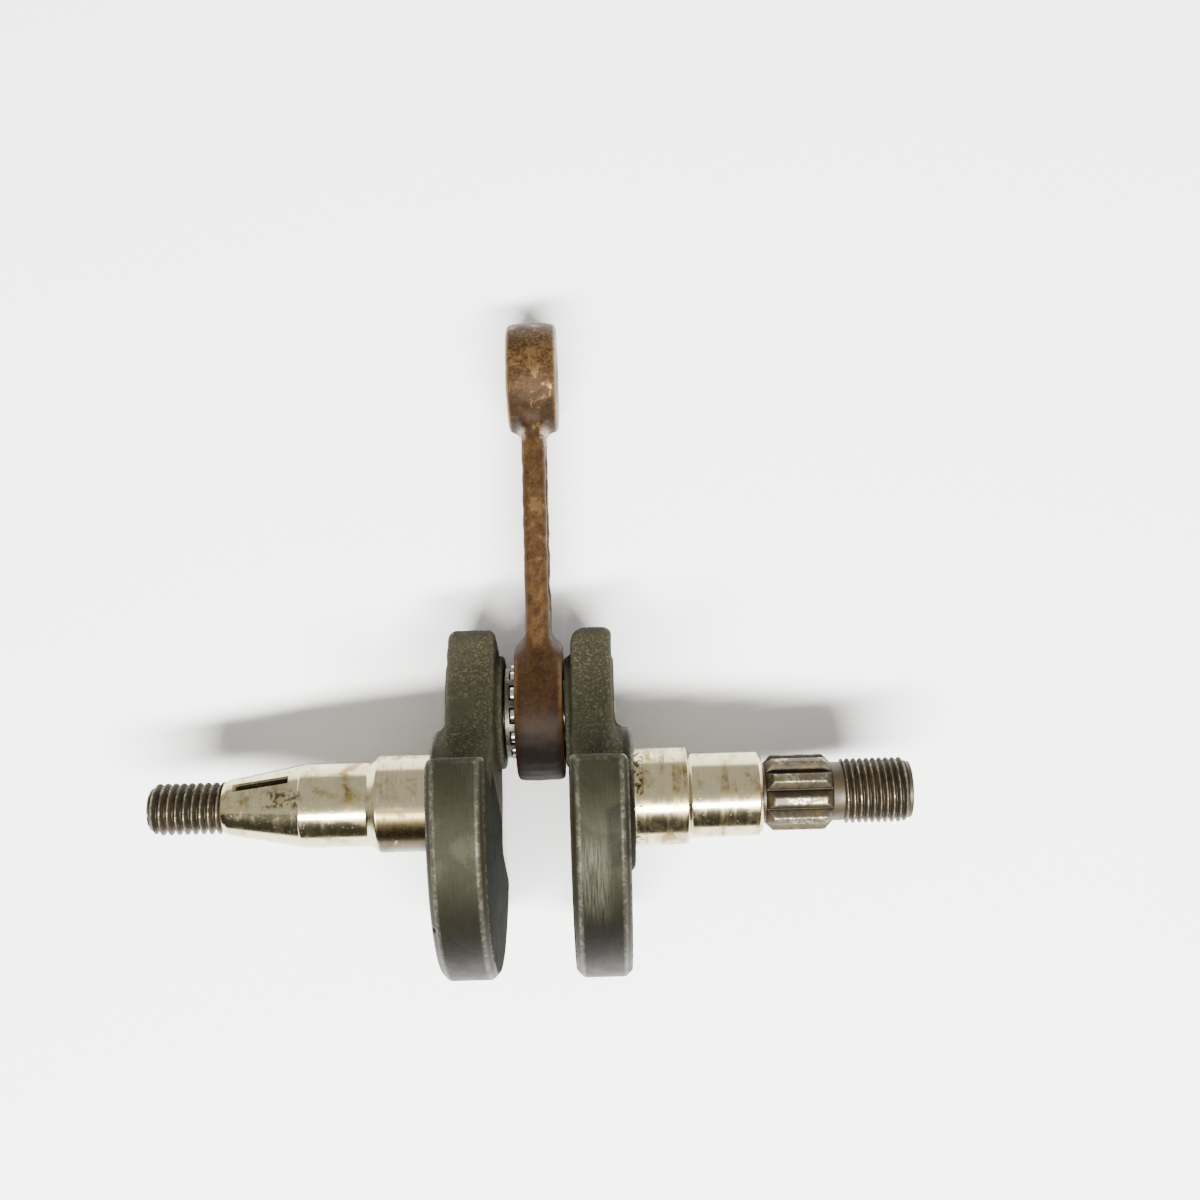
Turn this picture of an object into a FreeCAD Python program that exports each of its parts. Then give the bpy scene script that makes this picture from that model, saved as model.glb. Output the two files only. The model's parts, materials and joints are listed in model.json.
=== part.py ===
import FreeCAD, Part
import Sketcher
import math
import os
from FreeCAD import Placement, Rotation, Vector

# A built-up crankshaft of a small single-cylinder engine, with its connecting rod,
# lying on a table. Millimetres. The row frame has +X along the crank axis towards the
# splined end, +Z up from the table and +Y the way the rod lies. Its origin is on the
# crank axis at the middle of the drive-side journal.
#
# Each piece is drawn in a design frame of its own: the crank pieces with X on the crank
# axis, X = 0 midway between the two webs and +Y towards the crankpin; the rod, the cage
# and the needles with X on the crankpin's axis.

SIZES = {
    # webs
    "throw_radius": 15.0,
    "stem_tip_reach": 12.0,
    "web_corner_round": 1.2,
    "web_inner_fillet": 3.0,
    "web_rim_chamfer": 1.0,
    "flank_drop": 3.8,
    "stem_tip_half_width": 9.9,
    "stem_root_half_width": 11.0,
    "stem_root_overlap": 2.0,
    "flywheel_stem_thickness": 7.9,
    "drive_stem_thickness": 6.8,
    "counterweight_thickness": 8.3,
    "thrust_boss_wall": 4.0,
    "thrust_boss_height": 1.1,
    "hub_radius": 10.9,
    "hub_edge_round": 0.6,
    "flywheel_hub_height": 9.6,
    "drive_hub_height": 9.2,
    # crankpin, pressed into both webs
    "crankpin_radius": 5.0,
    "crankpin_chamfer": 0.4,
    # flywheel-side shaft, outwards from its hub face
    "journal_radius": 7.5,
    "seat_step": 1.0,
    "flywheel_journal_length": 8.5,
    "flywheel_shoulder_length": 1.4,
    "flywheel_seat_length": 10.3,
    "taper_length": 11.6,
    "taper_step": 0.1,
    "taper_small_radius": 4.25,
    "flywheel_runout_length": 1.1,
    "flywheel_thread_length": 11.1,
    "flywheel_thread_radius": 4.0,
    "flywheel_thread_pitch": 1.25,
    "flywheel_end_chamfer": 1.0,
    "key_cutter_radius": 5.0,
    "key_width": 1.5,
    "key_depth": 2.8,
    "key_from_taper_end": 5.0,
    "key_angle": 70.0,
    # drive-side shaft, outwards from its hub face
    "drive_journal_length": 8.2,
    "drive_shoulder_length": 0.6,
    "drive_seat_length": 10.9,
    "seat_end_chamfer": 0.6,
    "neck_step": 0.15,
    "spline_neck_length": 0.5,
    "spline_length": 10.3,
    "spline_radius": 5.8,
    "spline_root_radius": 4.65,
    "spline_chamfer": 1.2,
    "spline_groove_width": 2.3,
    "spline_root_width": 0.2,
    "spline_teeth": 10,
    "thread_neck_length": 1.8,
    "drive_thread_length": 10.4,
    "drive_thread_radius": 5.0,
    "drive_thread_pitch": 1.0,
    "drive_end_chamfer": 1.2,
    "centre_hole_radius": 1.6,
    "centre_pilot_radius": 0.8,
    "centre_hole_depth": 1.4,
    "centre_pilot_depth": 2.4,
    # connecting rod
    "rod_length": 54.0,
    "rod_side_gap": 0.2,
    "big_end_wall": 3.47,
    "big_end_width": 7.5,
    "small_end_wall": 3.1,
    "small_end_width": 8.0,
    "small_end_bore_radius": 6.0,
    "rod_edge_chamfer": 0.4,
    "shank_thickness": 4.0,
    "shank_big_half_width": 7.0,
    "shank_small_half_width": 5.5,
    "shank_flare": 2.7,
    "shank_pocket_depth": 0.8,
    "shank_rail_width": 1.6,
    "shank_pocket_gap": 3.0,
    # needle roller bearing of the big end
    "needle_radius": 1.25,
    "needle_length": 7.6,
    "needle_end_chamfer": 0.25,
    "needle_count": 12,
    "running_clearance": 0.01,
    "cage_ring_width": 0.81,
    "cage_inner_gap": 0.6,
    "cage_outer_gap": 0.28,
    "cage_end_chamfer": 0.2,
    "cage_side_gap": 0.15,
    "window_clearance": 0.04,
}

# Sizes that follow from the others, as expressions on the sheet's cells
NEEDLE_CIRCLE = "($crankpin_radius + $running_clearance + $needle_radius)"
BIG_END_BORE = f"({NEEDLE_CIRCLE} + $needle_radius + $running_clearance)"
BIG_END_RADIUS = f"({BIG_END_BORE} + $big_end_wall)"
SMALL_END_RADIUS = "($small_end_bore_radius + $small_end_wall)"
CAGE_LENGTH = "($needle_length + 2 * ($window_clearance + $cage_ring_width))"
CAGE_INNER_RADIUS = "($crankpin_radius + $cage_inner_gap)"
CAGE_OUTER_RADIUS = f"({BIG_END_BORE} - $cage_outer_gap)"
THRUST_FACE = f"({CAGE_LENGTH} / 2 + $cage_side_gap)"
WEB_INNER_FACE = f"({THRUST_FACE} + $thrust_boss_height)"
WEB_RADIUS = "($throw_radius + $stem_tip_reach)"
THRUST_BOSS_RADIUS = "($crankpin_radius + $thrust_boss_wall)"
SEAT_RADIUS = "($journal_radius - $seat_step)"
TAPER_LARGE_RADIUS = f"({SEAT_RADIUS} - $taper_step)"
NECK_RADIUS = "($spline_root_radius - $neck_step)"
ROD_OFFSET = f"({THRUST_FACE} - $rod_side_gap - $big_end_width / 2)"

THREAD_FLAT = 0.12          # crest width of a thread, in pitches
THREAD_DEPTH = 0.61         # depth of an outside metric thread, in pitches
CUT_MARGIN = 1.0            # how far a cut reaches past the surface that it opens, mm

doc = FreeCAD.newDocument("crankshaft")
sheet = doc.addObject("Spreadsheet::Sheet", "Sizes")
for row, (alias, number) in enumerate(SIZES.items(), start=1):
    sheet.set(f"A{row}", alias)
    sheet.set(f"B{row}", str(number))
    sheet.setAlias(f"B{row}", alias)
doc.recompute()


def size(alias):
    """The number in a cell of the sheet."""
    return float(sheet.get(alias))


def cell(text):
    """An expression whose $words are cells of the sheet."""
    return text.replace("$", "Sizes.")


def value(text):
    """The number that such an expression gives now."""
    result = sheet.evalExpression(cell(text))
    return float(getattr(result, "Value", result))


def new_body(label):
    body = doc.addObject("PartDesign::Body", label)
    body.Label = label
    return body


def new_sketch(body, name, role, offset=None, turn=None):
    """A sketch on one of the body's own origin planes, moved along the plane's normal."""
    sketch = body.newObject("Sketcher::SketchObject", f"{body.Name}_{name}")
    plane = [f for f in body.Origin.OriginFeatures if f.Role == role][0]
    sketch.AttachmentSupport = [(plane, "")]
    sketch.MapMode = "FlatFace"
    if turn is not None:
        sketch.AttachmentOffset = Placement(Vector(), Rotation(Vector(1, 0, 0), value(turn)))
        sketch.setExpression(".AttachmentOffset.Rotation.Angle", cell(turn))
    if offset is not None:
        sketch.AttachmentOffset = Placement(Vector(0, 0, value(offset)), Rotation())
        sketch.setExpression(".AttachmentOffset.Base.z", cell(offset))
    return sketch


def hold(sketch, constraint, text):
    """Adds a constraint with a datum, and ties the datum to the sheet."""
    index = sketch.addConstraint(constraint)
    sketch.setExpression(f"Constraints[{index}]", cell(text))


def hold_point(sketch, element, vertex, across=None, along=None):
    """Ties a point's two coordinates to the sheet, or one of them."""
    if across is not None:
        hold(sketch, Sketcher.Constraint("DistanceX", -1, 1, element, vertex, value(across)),
             across)
    if along is not None:
        hold(sketch, Sketcher.Constraint("DistanceY", -1, 1, element, vertex, value(along)),
             along)


def draw_polygon(sketch, points):
    """A closed outline of straight lines through points given as pairs of expressions."""
    places = [Vector(value(across), value(along), 0) for across, along in points]
    first = sketch.GeometryCount
    count = len(points)
    for k in range(count):
        sketch.addGeometry(Part.LineSegment(places[k], places[(k + 1) % count]))
    for k in range(count):
        following = first + (k + 1) % count
        sketch.addConstraint(Sketcher.Constraint("Coincident", first + k, 2, following, 1))
    for k, (across, along) in enumerate(points):
        hold_point(sketch, first + k, 1, across, along)


def draw_circle(sketch, radius, across="0", along="0"):
    centre = Vector(value(across), value(along), 0)
    circle = sketch.addGeometry(Part.Circle(centre, Vector(0, 0, 1), value(radius)))
    hold(sketch, Sketcher.Constraint("Radius", circle, value(radius)), radius)
    hold_point(sketch, circle, 3, across, along)


def draw_arc(sketch, radius, start, end):
    """An arc about the sketch's origin, counter-clockwise from start to end.

    Each end is ("across", expression) or ("along", expression) and the sign of its
    other coordinate.
    """
    r = value(radius)
    angles = []
    for kind, text, sign in (start, end):
        known = value(text)
        other = sign * math.sqrt(r * r - known * known)
        pair = (known, other) if kind == "across" else (other, known)
        angles.append(math.atan2(pair[1], pair[0]))
    if angles[1] < angles[0]:
        angles[1] += 2 * math.pi
    arc = sketch.addGeometry(
        Part.ArcOfCircle(Part.Circle(Vector(), Vector(0, 0, 1), r), angles[0], angles[1]))
    hold(sketch, Sketcher.Constraint("Radius", arc, r), radius)
    sketch.addConstraint(Sketcher.Constraint("Coincident", arc, 3, -1, 1))
    for vertex, (kind, text, sign) in ((1, start), (2, end)):
        hold_point(sketch, arc, vertex, **{kind: text})
    return arc


def join_arc_ends(sketch, arc, points):
    """Straight lines from an arc's end, through points, back to the arc's start."""
    places = [Vector(value(across), value(along), 0) for across, along in points]
    chain = [sketch.Geometry[arc].EndPoint] + places + [sketch.Geometry[arc].StartPoint]
    first = sketch.GeometryCount
    for a, b in zip(chain, chain[1:]):
        sketch.addGeometry(Part.LineSegment(a, b))
    last = sketch.GeometryCount - 1
    sketch.addConstraint(Sketcher.Constraint("Coincident", arc, 2, first, 1))
    for k in range(first, last):
        sketch.addConstraint(Sketcher.Constraint("Coincident", k, 2, k + 1, 1))
        across, along = points[k - first]
        hold_point(sketch, k, 2, across, along)
    sketch.addConstraint(Sketcher.Constraint("Coincident", last, 2, arc, 1))


def add_pad(body, sketch, name, length, reverse=False, symmetric=False):
    pad = body.newObject("PartDesign::Pad", f"{body.Name}_{name}")
    pad.Profile = sketch
    pad.Length = value(length)
    pad.setExpression("Length", cell(length))
    pad.Reversed = reverse
    if symmetric:
        pad.SideType = "Symmetric"
    doc.recompute()
    return pad


def cut_from(body, kind, name, set_up):
    """A feature that removes material; it raises when nothing is removed."""
    before = body.Shape.Volume
    feature = body.newObject(kind, f"{body.Name}_{name}")
    set_up(feature)
    doc.recompute()
    if not body.Shape.Volume < before - 1e-6:
        raise RuntimeError(f"{feature.Name} removes nothing")
    return feature


def add_pocket(body, sketch, name, length, reverse=False, symmetric=False):
    def set_up(pocket):
        pocket.Profile = sketch
        pocket.Length = value(length)
        pocket.setExpression("Length", cell(length))
        pocket.Reversed = reverse
        if symmetric:
            pocket.SideType = "Symmetric"
    return cut_from(body, "PartDesign::Pocket", name, set_up)


def add_turned(body, sketch, name):
    """A solid turned about the sketch's horizontal axis."""
    turned = body.newObject("PartDesign::Revolution", f"{body.Name}_{name}")
    turned.Profile = sketch
    turned.ReferenceAxis = (sketch, ["H_Axis"])
    turned.Angle = 360
    doc.recompute()
    return turned


def add_groove(body, sketch, name):
    def set_up(groove):
        groove.Profile = sketch
        groove.ReferenceAxis = (sketch, ["H_Axis"])
        groove.Angle = 360
    return cut_from(body, "PartDesign::Groove", name, set_up)


def add_round(body, name, radius, wanted, kind="PartDesign::Fillet", prop="Radius"):
    """Rounds or chamfers the edges whose middle point the test accepts."""
    base = body.Tip
    names = []
    for k, edge in enumerate(base.Shape.Edges, start=1):
        middle = edge.valueAt((edge.FirstParameter + edge.LastParameter) / 2)
        if wanted(edge, middle):
            names.append(f"Edge{k}")
    if not names:
        raise RuntimeError(f"{body.Name}_{name} finds no edge")
    rounded = body.newObject(kind, f"{body.Name}_{name}")
    rounded.Base = (base, names)
    setattr(rounded, prop, value(radius))
    rounded.setExpression(prop, cell(radius))
    doc.recompute()
    return rounded


def repeat_round(body, feature, sketch, axis, name, count):
    """The same cut repeated evenly about an axis."""
    def set_up(pattern):
        pattern.Originals = [feature]
        pattern.Axis = (sketch, [axis])
        pattern.Angle = 360
        pattern.Occurrences = int(value(count))
        pattern.setExpression("Occurrences", cell(count))
        body.Tip = pattern
    return cut_from(body, "PartDesign::PolarPattern", name, set_up)


def repeat_along(body, feature, sketch, name, length, count, reverse):
    """The same cut repeated evenly along the sketch's horizontal axis."""
    def set_up(pattern):
        pattern.Originals = [feature]
        pattern.Direction = (sketch, ["H_Axis"])
        pattern.Reversed = reverse
        pattern.Length = value(length)
        pattern.setExpression("Length", cell(length))
        pattern.Occurrences = int(value(count))
        pattern.setExpression("Occurrences", cell(count))
        body.Tip = pattern
    return cut_from(body, "PartDesign::LinearPattern", name, set_up)


# ---------------------------------------------------------------- crank halves

def build_web(body, side, stem_thickness):
    """Stem, counterweight and thrust boss of one crank half; side is +1 or -1."""
    sign = "" if side > 0 else "-"
    backwards = side < 0

    stem = new_sketch(body, "stem_outline", "YZ_Plane", f"{sign}{WEB_INNER_FACE}")
    arc = draw_arc(stem, WEB_RADIUS, ("along", "-$stem_tip_half_width", 1),
                   ("along", "$stem_tip_half_width", 1))
    root = "-$flank_drop - $stem_root_overlap"
    join_arc_ends(stem, arc, [(root, "$stem_root_half_width"),
                              (root, "-$stem_root_half_width")])
    add_pad(body, stem, "stem", stem_thickness, backwards)

    weight = new_sketch(body, "counterweight_outline", "YZ_Plane", f"{sign}{WEB_INNER_FACE}")
    arc = draw_arc(weight, WEB_RADIUS, ("across", "-$flank_drop", 1),
                   ("across", "-$flank_drop", -1))
    join_arc_ends(weight, arc, [])
    add_pad(body, weight, "counterweight", "$counterweight_thickness", backwards)

    flank = -size("flank_drop")
    corner_z = math.sqrt(value(WEB_RADIUS) ** 2 - flank ** 2)
    tip_y = math.sqrt(value(WEB_RADIUS) ** 2 - size("stem_tip_half_width") ** 2)

    def lies_along_x(edge):
        a, b = edge.Vertexes[0].Point, edge.Vertexes[-1].Point
        return abs(a.y - b.y) < 1e-4 and abs(a.z - b.z) < 1e-4 and abs(a.x - b.x) > 1e-3

    def outer_corner(edge, middle):
        at_weight = abs(middle.y - flank) < 1e-3 and abs(abs(middle.z) - corner_z) < 1e-3
        at_tip = (abs(middle.y - tip_y) < 1e-3
                  and abs(abs(middle.z) - size("stem_tip_half_width")) < 1e-3)
        return lies_along_x(edge) and (at_weight or at_tip)

    def inner_corner(edge, middle):
        return (lies_along_x(edge) and abs(middle.y - flank) < 1e-3
                and abs(middle.z) < size("stem_root_half_width") + 1e-3)

    add_round(body, "corner_rounds", "$web_corner_round", outer_corner)
    add_round(body, "inner_fillets", "$web_inner_fillet", inner_corner)

    rim = new_sketch(body, "rim_chamfer_profile", "XY_Plane")
    inner = f"{sign}{WEB_INNER_FACE}"
    outer = f"{sign}({WEB_INNER_FACE} + $counterweight_thickness)"
    beyond = f"{WEB_RADIUS} + {CUT_MARGIN}"
    into, out_of = ("+", "-") if side > 0 else ("-", "+")
    for face, into_web, out_of_web in ((inner, into, out_of), (outer, out_of, into)):
        draw_polygon(rim, [
            (f"{face} {into_web} $web_rim_chamfer", WEB_RADIUS),
            (f"{face} {into_web} $web_rim_chamfer", beyond),
            (f"{face} {out_of_web} {CUT_MARGIN}", beyond),
            (f"{face} {out_of_web} {CUT_MARGIN}",
             f"{WEB_RADIUS} - $web_rim_chamfer - {CUT_MARGIN}"),
        ])
    add_groove(body, rim, "rim_chamfers")

    boss = new_sketch(body, "thrust_boss_outline", "YZ_Plane", f"{sign}{WEB_INNER_FACE}")
    draw_circle(boss, THRUST_BOSS_RADIUS, "$throw_radius")
    add_pad(body, boss, "thrust_boss", "$thrust_boss_height", not backwards)


def build_shaft(body, side, sections, hub_height, end_chamfer, thread_radius):
    """Turned hub and shaft; sections are (length, radius at start, radius at end)."""
    sign = "" if side > 0 else "-"
    profile = new_sketch(body, "shaft_profile", "XY_Plane")
    station = WEB_INNER_FACE
    hub_face = f"{station} + {hub_height}"
    outline = [(station, "0"), (station, "$hub_radius"),
               (f"{hub_face} - $hub_edge_round", "$hub_radius"),
               (hub_face, "$hub_radius - $hub_edge_round")]
    station = hub_face
    for length, start_radius, end_radius in sections:
        outline.append((station, start_radius))
        station = f"{station} + {length}"
        outline.append((station, end_radius))
    end = station
    outline[-1] = (f"{end} - {end_chamfer}", thread_radius)
    outline += [(end, f"{thread_radius} - {end_chamfer}"),
                (end, "$centre_hole_radius"),
                (f"{end} - $centre_hole_depth", "$centre_pilot_radius"),
                (f"{end} - $centre_pilot_depth", "$centre_pilot_radius"),
                (f"{end} - $centre_pilot_depth - $centre_pilot_radius", "0")]
    cleaned = [outline[0]]
    for point in outline[1:]:
        same = all(abs(value(a) - value(b)) < 1e-6 for a, b in zip(point, cleaned[-1]))
        if not same:
            cleaned.append(point)
    draw_polygon(profile, [(f"{sign}({across})", along) for across, along in cleaned])
    add_turned(body, profile, "shaft")
    return end


def cut_thread(body, side, end, length, radius, pitch):
    """Rings of one pitch for the thread; its helix is left to the finished surface."""
    sign = "" if side > 0 else "-"
    profile = new_sketch(body, "thread_profile", "XY_Plane")
    count = f"floor(({length} - {pitch}) / {pitch})"
    first = f"{end} - {pitch}"
    half = f"{pitch} * {(1 - THREAD_FLAT) / 2}"
    widened = 1.1
    beyond = f"{pitch} * {THREAD_DEPTH * (widened - 1)}"
    draw_polygon(profile, [
        (f"{sign}({first} - {half} * {widened})", f"{radius} + {beyond}"),
        (f"{sign}({first} - {pitch} * {THREAD_FLAT / 2})",
         f"{radius} - {pitch} * {THREAD_DEPTH}"),
        (f"{sign}({first} + {pitch} * {THREAD_FLAT / 2})",
         f"{radius} - {pitch} * {THREAD_DEPTH}"),
        (f"{sign}({first} + {half} * {widened})", f"{radius} + {beyond}"),
    ])
    ring = add_groove(body, profile, "thread_ring")
    repeat_along(body, ring, profile, "thread", f"({count} - 1) * {pitch}", count,
                 reverse=side > 0)


def bore_for_crankpin(body, side, stem_thickness):
    sign = "" if side > 0 else "-"
    hole = new_sketch(body, "pin_hole_outline", "YZ_Plane",
                      f"{sign}({WEB_INNER_FACE} - $thrust_boss_height - {CUT_MARGIN})")
    draw_circle(hole, "$crankpin_radius", "$throw_radius")
    add_pocket(body, hole, "pin_hole",
               f"$thrust_boss_height + {stem_thickness} + $hub_radius + {CUT_MARGIN}",
               reverse=side > 0)


def cut_key_slot(body):
    """The round-bottomed slot of a half-moon key in the flywheel taper."""
    taper_end = (f"{WEB_INNER_FACE} + $flywheel_hub_height + $flywheel_journal_length"
                 " + $flywheel_shoulder_length + $flywheel_seat_length + $taper_length")
    slot = new_sketch(body, "key_slot_outline", "XY_Plane", turn="$key_angle")
    share = "$key_from_taper_end / $taper_length"
    surface = (f"$taper_small_radius + ({TAPER_LARGE_RADIUS} - $taper_small_radius)"
               f" * {share}")
    draw_circle(slot, "$key_cutter_radius", f"-({taper_end} - $key_from_taper_end)",
                f"{surface} + $key_cutter_radius - $key_depth")
    add_pocket(body, slot, "key_slot", "$key_width", symmetric=True)


def cut_splines(body):
    """Ten straight splines between the drive side's two necks."""
    start = (f"{WEB_INNER_FACE} + $drive_hub_height + $drive_journal_length"
             " + $drive_shoulder_length + $drive_seat_length + $spline_neck_length / 2")
    groove = new_sketch(body, "spline_groove_outline", "YZ_Plane", start)
    beyond = 1.08  # the cutter reaches this many times the spline's radius
    draw_polygon(groove, [
        ("$spline_root_radius", "$spline_root_width / 2"),
        ("$spline_root_radius", "-$spline_root_width / 2"),
        (f"$spline_radius * {beyond}", f"-$spline_groove_width / 2 * {beyond}"),
        (f"$spline_radius * {beyond}", f"$spline_groove_width / 2 * {beyond}"),
    ])
    cut = add_pocket(body, groove, "spline_groove",
                     "$spline_length + $spline_neck_length / 2 + $thread_neck_length / 4",
                     reverse=True)
    repeat_round(body, cut, groove, "N_Axis", "splines", "$spline_teeth")


def build_flywheel_half():
    body = new_body("crank_half_flywheel_side")
    build_web(body, -1, "$flywheel_stem_thickness")
    end = build_shaft(body, -1, [
        ("$flywheel_journal_length", "$journal_radius", "$journal_radius"),
        ("$flywheel_shoulder_length", "$journal_radius", SEAT_RADIUS),
        ("$flywheel_seat_length", SEAT_RADIUS, SEAT_RADIUS),
        ("$taper_length", TAPER_LARGE_RADIUS, "$taper_small_radius"),
        ("$flywheel_runout_length", "$taper_small_radius", "$flywheel_thread_radius"),
        ("$flywheel_thread_length", "$flywheel_thread_radius", "$flywheel_thread_radius"),
    ], "$flywheel_hub_height", "$flywheel_end_chamfer", "$flywheel_thread_radius")
    bore_for_crankpin(body, -1, "$flywheel_stem_thickness")
    cut_key_slot(body)
    cut_thread(body, -1, end, "$flywheel_thread_length", "$flywheel_thread_radius",
               "$flywheel_thread_pitch")
    return body


def build_drive_half():
    body = new_body("crank_half_drive_side")
    build_web(body, 1, "$drive_stem_thickness")
    end = build_shaft(body, 1, [
        ("$drive_journal_length", "$journal_radius", "$journal_radius"),
        ("$drive_shoulder_length", "$journal_radius", SEAT_RADIUS),
        ("$drive_seat_length - $seat_end_chamfer", SEAT_RADIUS, SEAT_RADIUS),
        ("$seat_end_chamfer", SEAT_RADIUS, f"{SEAT_RADIUS} - $seat_end_chamfer"),
        ("$spline_neck_length", NECK_RADIUS, NECK_RADIUS),
        ("$spline_chamfer", NECK_RADIUS, "$spline_radius"),
        ("$spline_length - 2 * $spline_chamfer", "$spline_radius", "$spline_radius"),
        ("$spline_chamfer", "$spline_radius", NECK_RADIUS),
        ("$thread_neck_length", NECK_RADIUS, NECK_RADIUS),
        ("$drive_thread_length", "$drive_thread_radius", "$drive_thread_radius"),
    ], "$drive_hub_height", "$drive_end_chamfer", "$drive_thread_radius")
    bore_for_crankpin(body, 1, "$drive_stem_thickness")
    cut_splines(body)
    cut_thread(body, 1, end, "$drive_thread_length", "$drive_thread_radius",
               "$drive_thread_pitch")
    return body


def build_crankpin():
    """A plain pin whose chamfered ends are flush with the stems' outer faces."""
    body = new_body("crankpin")
    profile = new_sketch(body, "profile", "XY_Plane")
    left = f"-({WEB_INNER_FACE} + $flywheel_stem_thickness)"
    right = f"{WEB_INNER_FACE} + $drive_stem_thickness"
    draw_polygon(profile, [
        (left, "0"),
        (left, "$crankpin_radius - $crankpin_chamfer"),
        (f"{left} + $crankpin_chamfer", "$crankpin_radius"),
        (f"{right} - $crankpin_chamfer", "$crankpin_radius"),
        (right, "$crankpin_radius - $crankpin_chamfer"),
        (right, "0"),
    ])
    add_turned(body, profile, "pin")
    return body


# ---------------------------------------------------------------- connecting rod

def build_connecting_rod():
    """Forged rod: two eyes and a shank with a shallow pocket in each flank."""
    body = new_body("connecting_rod")
    shank = new_sketch(body, "shank_outline", "YZ_Plane")
    draw_polygon(shank, [
        ("0", "-$shank_big_half_width"),
        ("$rod_length", "-$shank_small_half_width"),
        ("$rod_length", "$shank_small_half_width"),
        ("0", "$shank_big_half_width"),
    ])
    add_pad(body, shank, "shank", "$big_end_width", symmetric=True)

    # the shank is thinner than the eyes: a wedge of metal comes off each flank, with a
    # sloped flare left beside each eye
    kink = 0.35    # where the flare turns steeper, as a share of its height and length
    overlap = 0.1  # how far the cut runs under the big eye
    relief = new_sketch(body, "flank_relief_outline", "XY_Plane")
    for sign in ("", "-"):
        thin = f"{sign}$shank_thickness / 2"
        steep = (f"{sign}($shank_thickness / 2"
                 f" + {kink} * ($big_end_width - $shank_thickness) / 2)")
        wide = f"{sign}$big_end_width / 2"
        past = f"{sign}($big_end_width / 2 + {CUT_MARGIN})"
        draw_polygon(relief, [
            (thin, f"{BIG_END_RADIUS} + $shank_flare"),
            (steep, f"{BIG_END_RADIUS} + {kink} * $shank_flare"),
            (wide, f"{BIG_END_RADIUS} - {overlap}"),
            (past, f"{BIG_END_RADIUS} - {overlap}"),
            (past, f"$rod_length - {SMALL_END_RADIUS}"),
            (wide, f"$rod_length - {SMALL_END_RADIUS}"),
            (thin, f"$rod_length - {SMALL_END_RADIUS} - ($big_end_width - $shank_thickness) / 2"),
        ])
    add_pocket(body, relief, "flank_relief", "4 * $shank_big_half_width", symmetric=True)

    pocket_start = f"({BIG_END_RADIUS} + $shank_flare + $shank_pocket_gap)"
    pocket_end = f"($rod_length - {SMALL_END_RADIUS} - $shank_pocket_gap)"

    def half_width_at(place):
        slope = "($shank_big_half_width - $shank_small_half_width) / $rod_length"
        return f"($shank_big_half_width - {slope} * {place} - $shank_rail_width)"

    for name, sign, reverse in (("right", "", False), ("left", "-", True)):
        pocket = new_sketch(body, f"{name}_pocket_outline", "YZ_Plane",
                            f"{sign}$shank_thickness / 2")
        draw_polygon(pocket, [
            (pocket_start, f"-{half_width_at(pocket_start)}"),
            (pocket_end, f"-{half_width_at(pocket_end)}"),
            (pocket_end, half_width_at(pocket_end)),
            (pocket_start, half_width_at(pocket_start)),
        ])
        add_pocket(body, pocket, f"{name}_pocket", "$shank_pocket_depth", reverse)

    big = new_sketch(body, "big_eye_outline", "YZ_Plane")
    draw_circle(big, BIG_END_RADIUS)
    add_pad(body, big, "big_eye", "$big_end_width", symmetric=True)
    small = new_sketch(body, "small_eye_outline", "YZ_Plane")
    draw_circle(small, SMALL_END_RADIUS, "$rod_length")
    add_pad(body, small, "small_eye", "$small_end_width", symmetric=True)

    bore = new_sketch(body, "big_bore_outline", "YZ_Plane")
    draw_circle(bore, BIG_END_BORE)
    add_pocket(body, bore, "big_bore", "2 * $big_end_width", symmetric=True)
    bore = new_sketch(body, "small_bore_outline", "YZ_Plane")
    draw_circle(bore, "$small_end_bore_radius", "$rod_length")
    add_pocket(body, bore, "small_bore", "2 * $small_end_width", symmetric=True)

    bores = (value(BIG_END_BORE), size("small_end_bore_radius"))

    def bore_edge(edge, middle):
        curve = edge.Curve
        return (isinstance(curve, Part.Circle)
                and any(abs(curve.Radius - r) < 1e-4 for r in bores))

    add_round(body, "bore_chamfers", "$rod_edge_chamfer", bore_edge,
              "PartDesign::Chamfer", "Size")
    return body


# ---------------------------------------------------------------- big-end bearing

def build_cage():
    """A ring with one window for each needle."""
    body = new_body("big_end_cage")
    profile = new_sketch(body, "ring_profile", "XY_Plane")
    half = f"{CAGE_LENGTH} / 2"
    draw_polygon(profile, [
        (f"-{half}", CAGE_INNER_RADIUS),
        (f"-{half}", f"{CAGE_OUTER_RADIUS} - $cage_end_chamfer"),
        (f"-{half} + $cage_end_chamfer", CAGE_OUTER_RADIUS),
        (f"{half} - $cage_end_chamfer", CAGE_OUTER_RADIUS),
        (half, f"{CAGE_OUTER_RADIUS} - $cage_end_chamfer"),
        (half, CAGE_INNER_RADIUS),
    ])
    add_turned(body, profile, "ring")

    window = new_sketch(body, "window_outline", "XZ_Plane")
    across = "($needle_length / 2 + $window_clearance)"
    along = "($needle_radius + $window_clearance)"
    draw_polygon(window, [(f"-{across}", f"-{along}"), (across, f"-{along}"),
                          (across, along), (f"-{across}", along)])
    cut = add_pocket(body, window, "window", f"{CAGE_OUTER_RADIUS} + {CUT_MARGIN}")
    repeat_round(body, cut, window, "H_Axis", "windows", "$needle_count")
    return body


def build_needle(number):
    body = new_body(f"needle_{number:02d}")
    profile = new_sketch(body, "profile", "XY_Plane")
    half = "$needle_length / 2"
    draw_polygon(profile, [
        (f"-{half}", "0"),
        (f"-{half}", "$needle_radius - $needle_end_chamfer"),
        (f"-{half} + $needle_end_chamfer", "$needle_radius"),
        (f"{half} - $needle_end_chamfer", "$needle_radius"),
        (half, "$needle_radius - $needle_end_chamfer"),
        (half, "0"),
    ])
    add_turned(body, profile, "roller")
    return body


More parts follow.
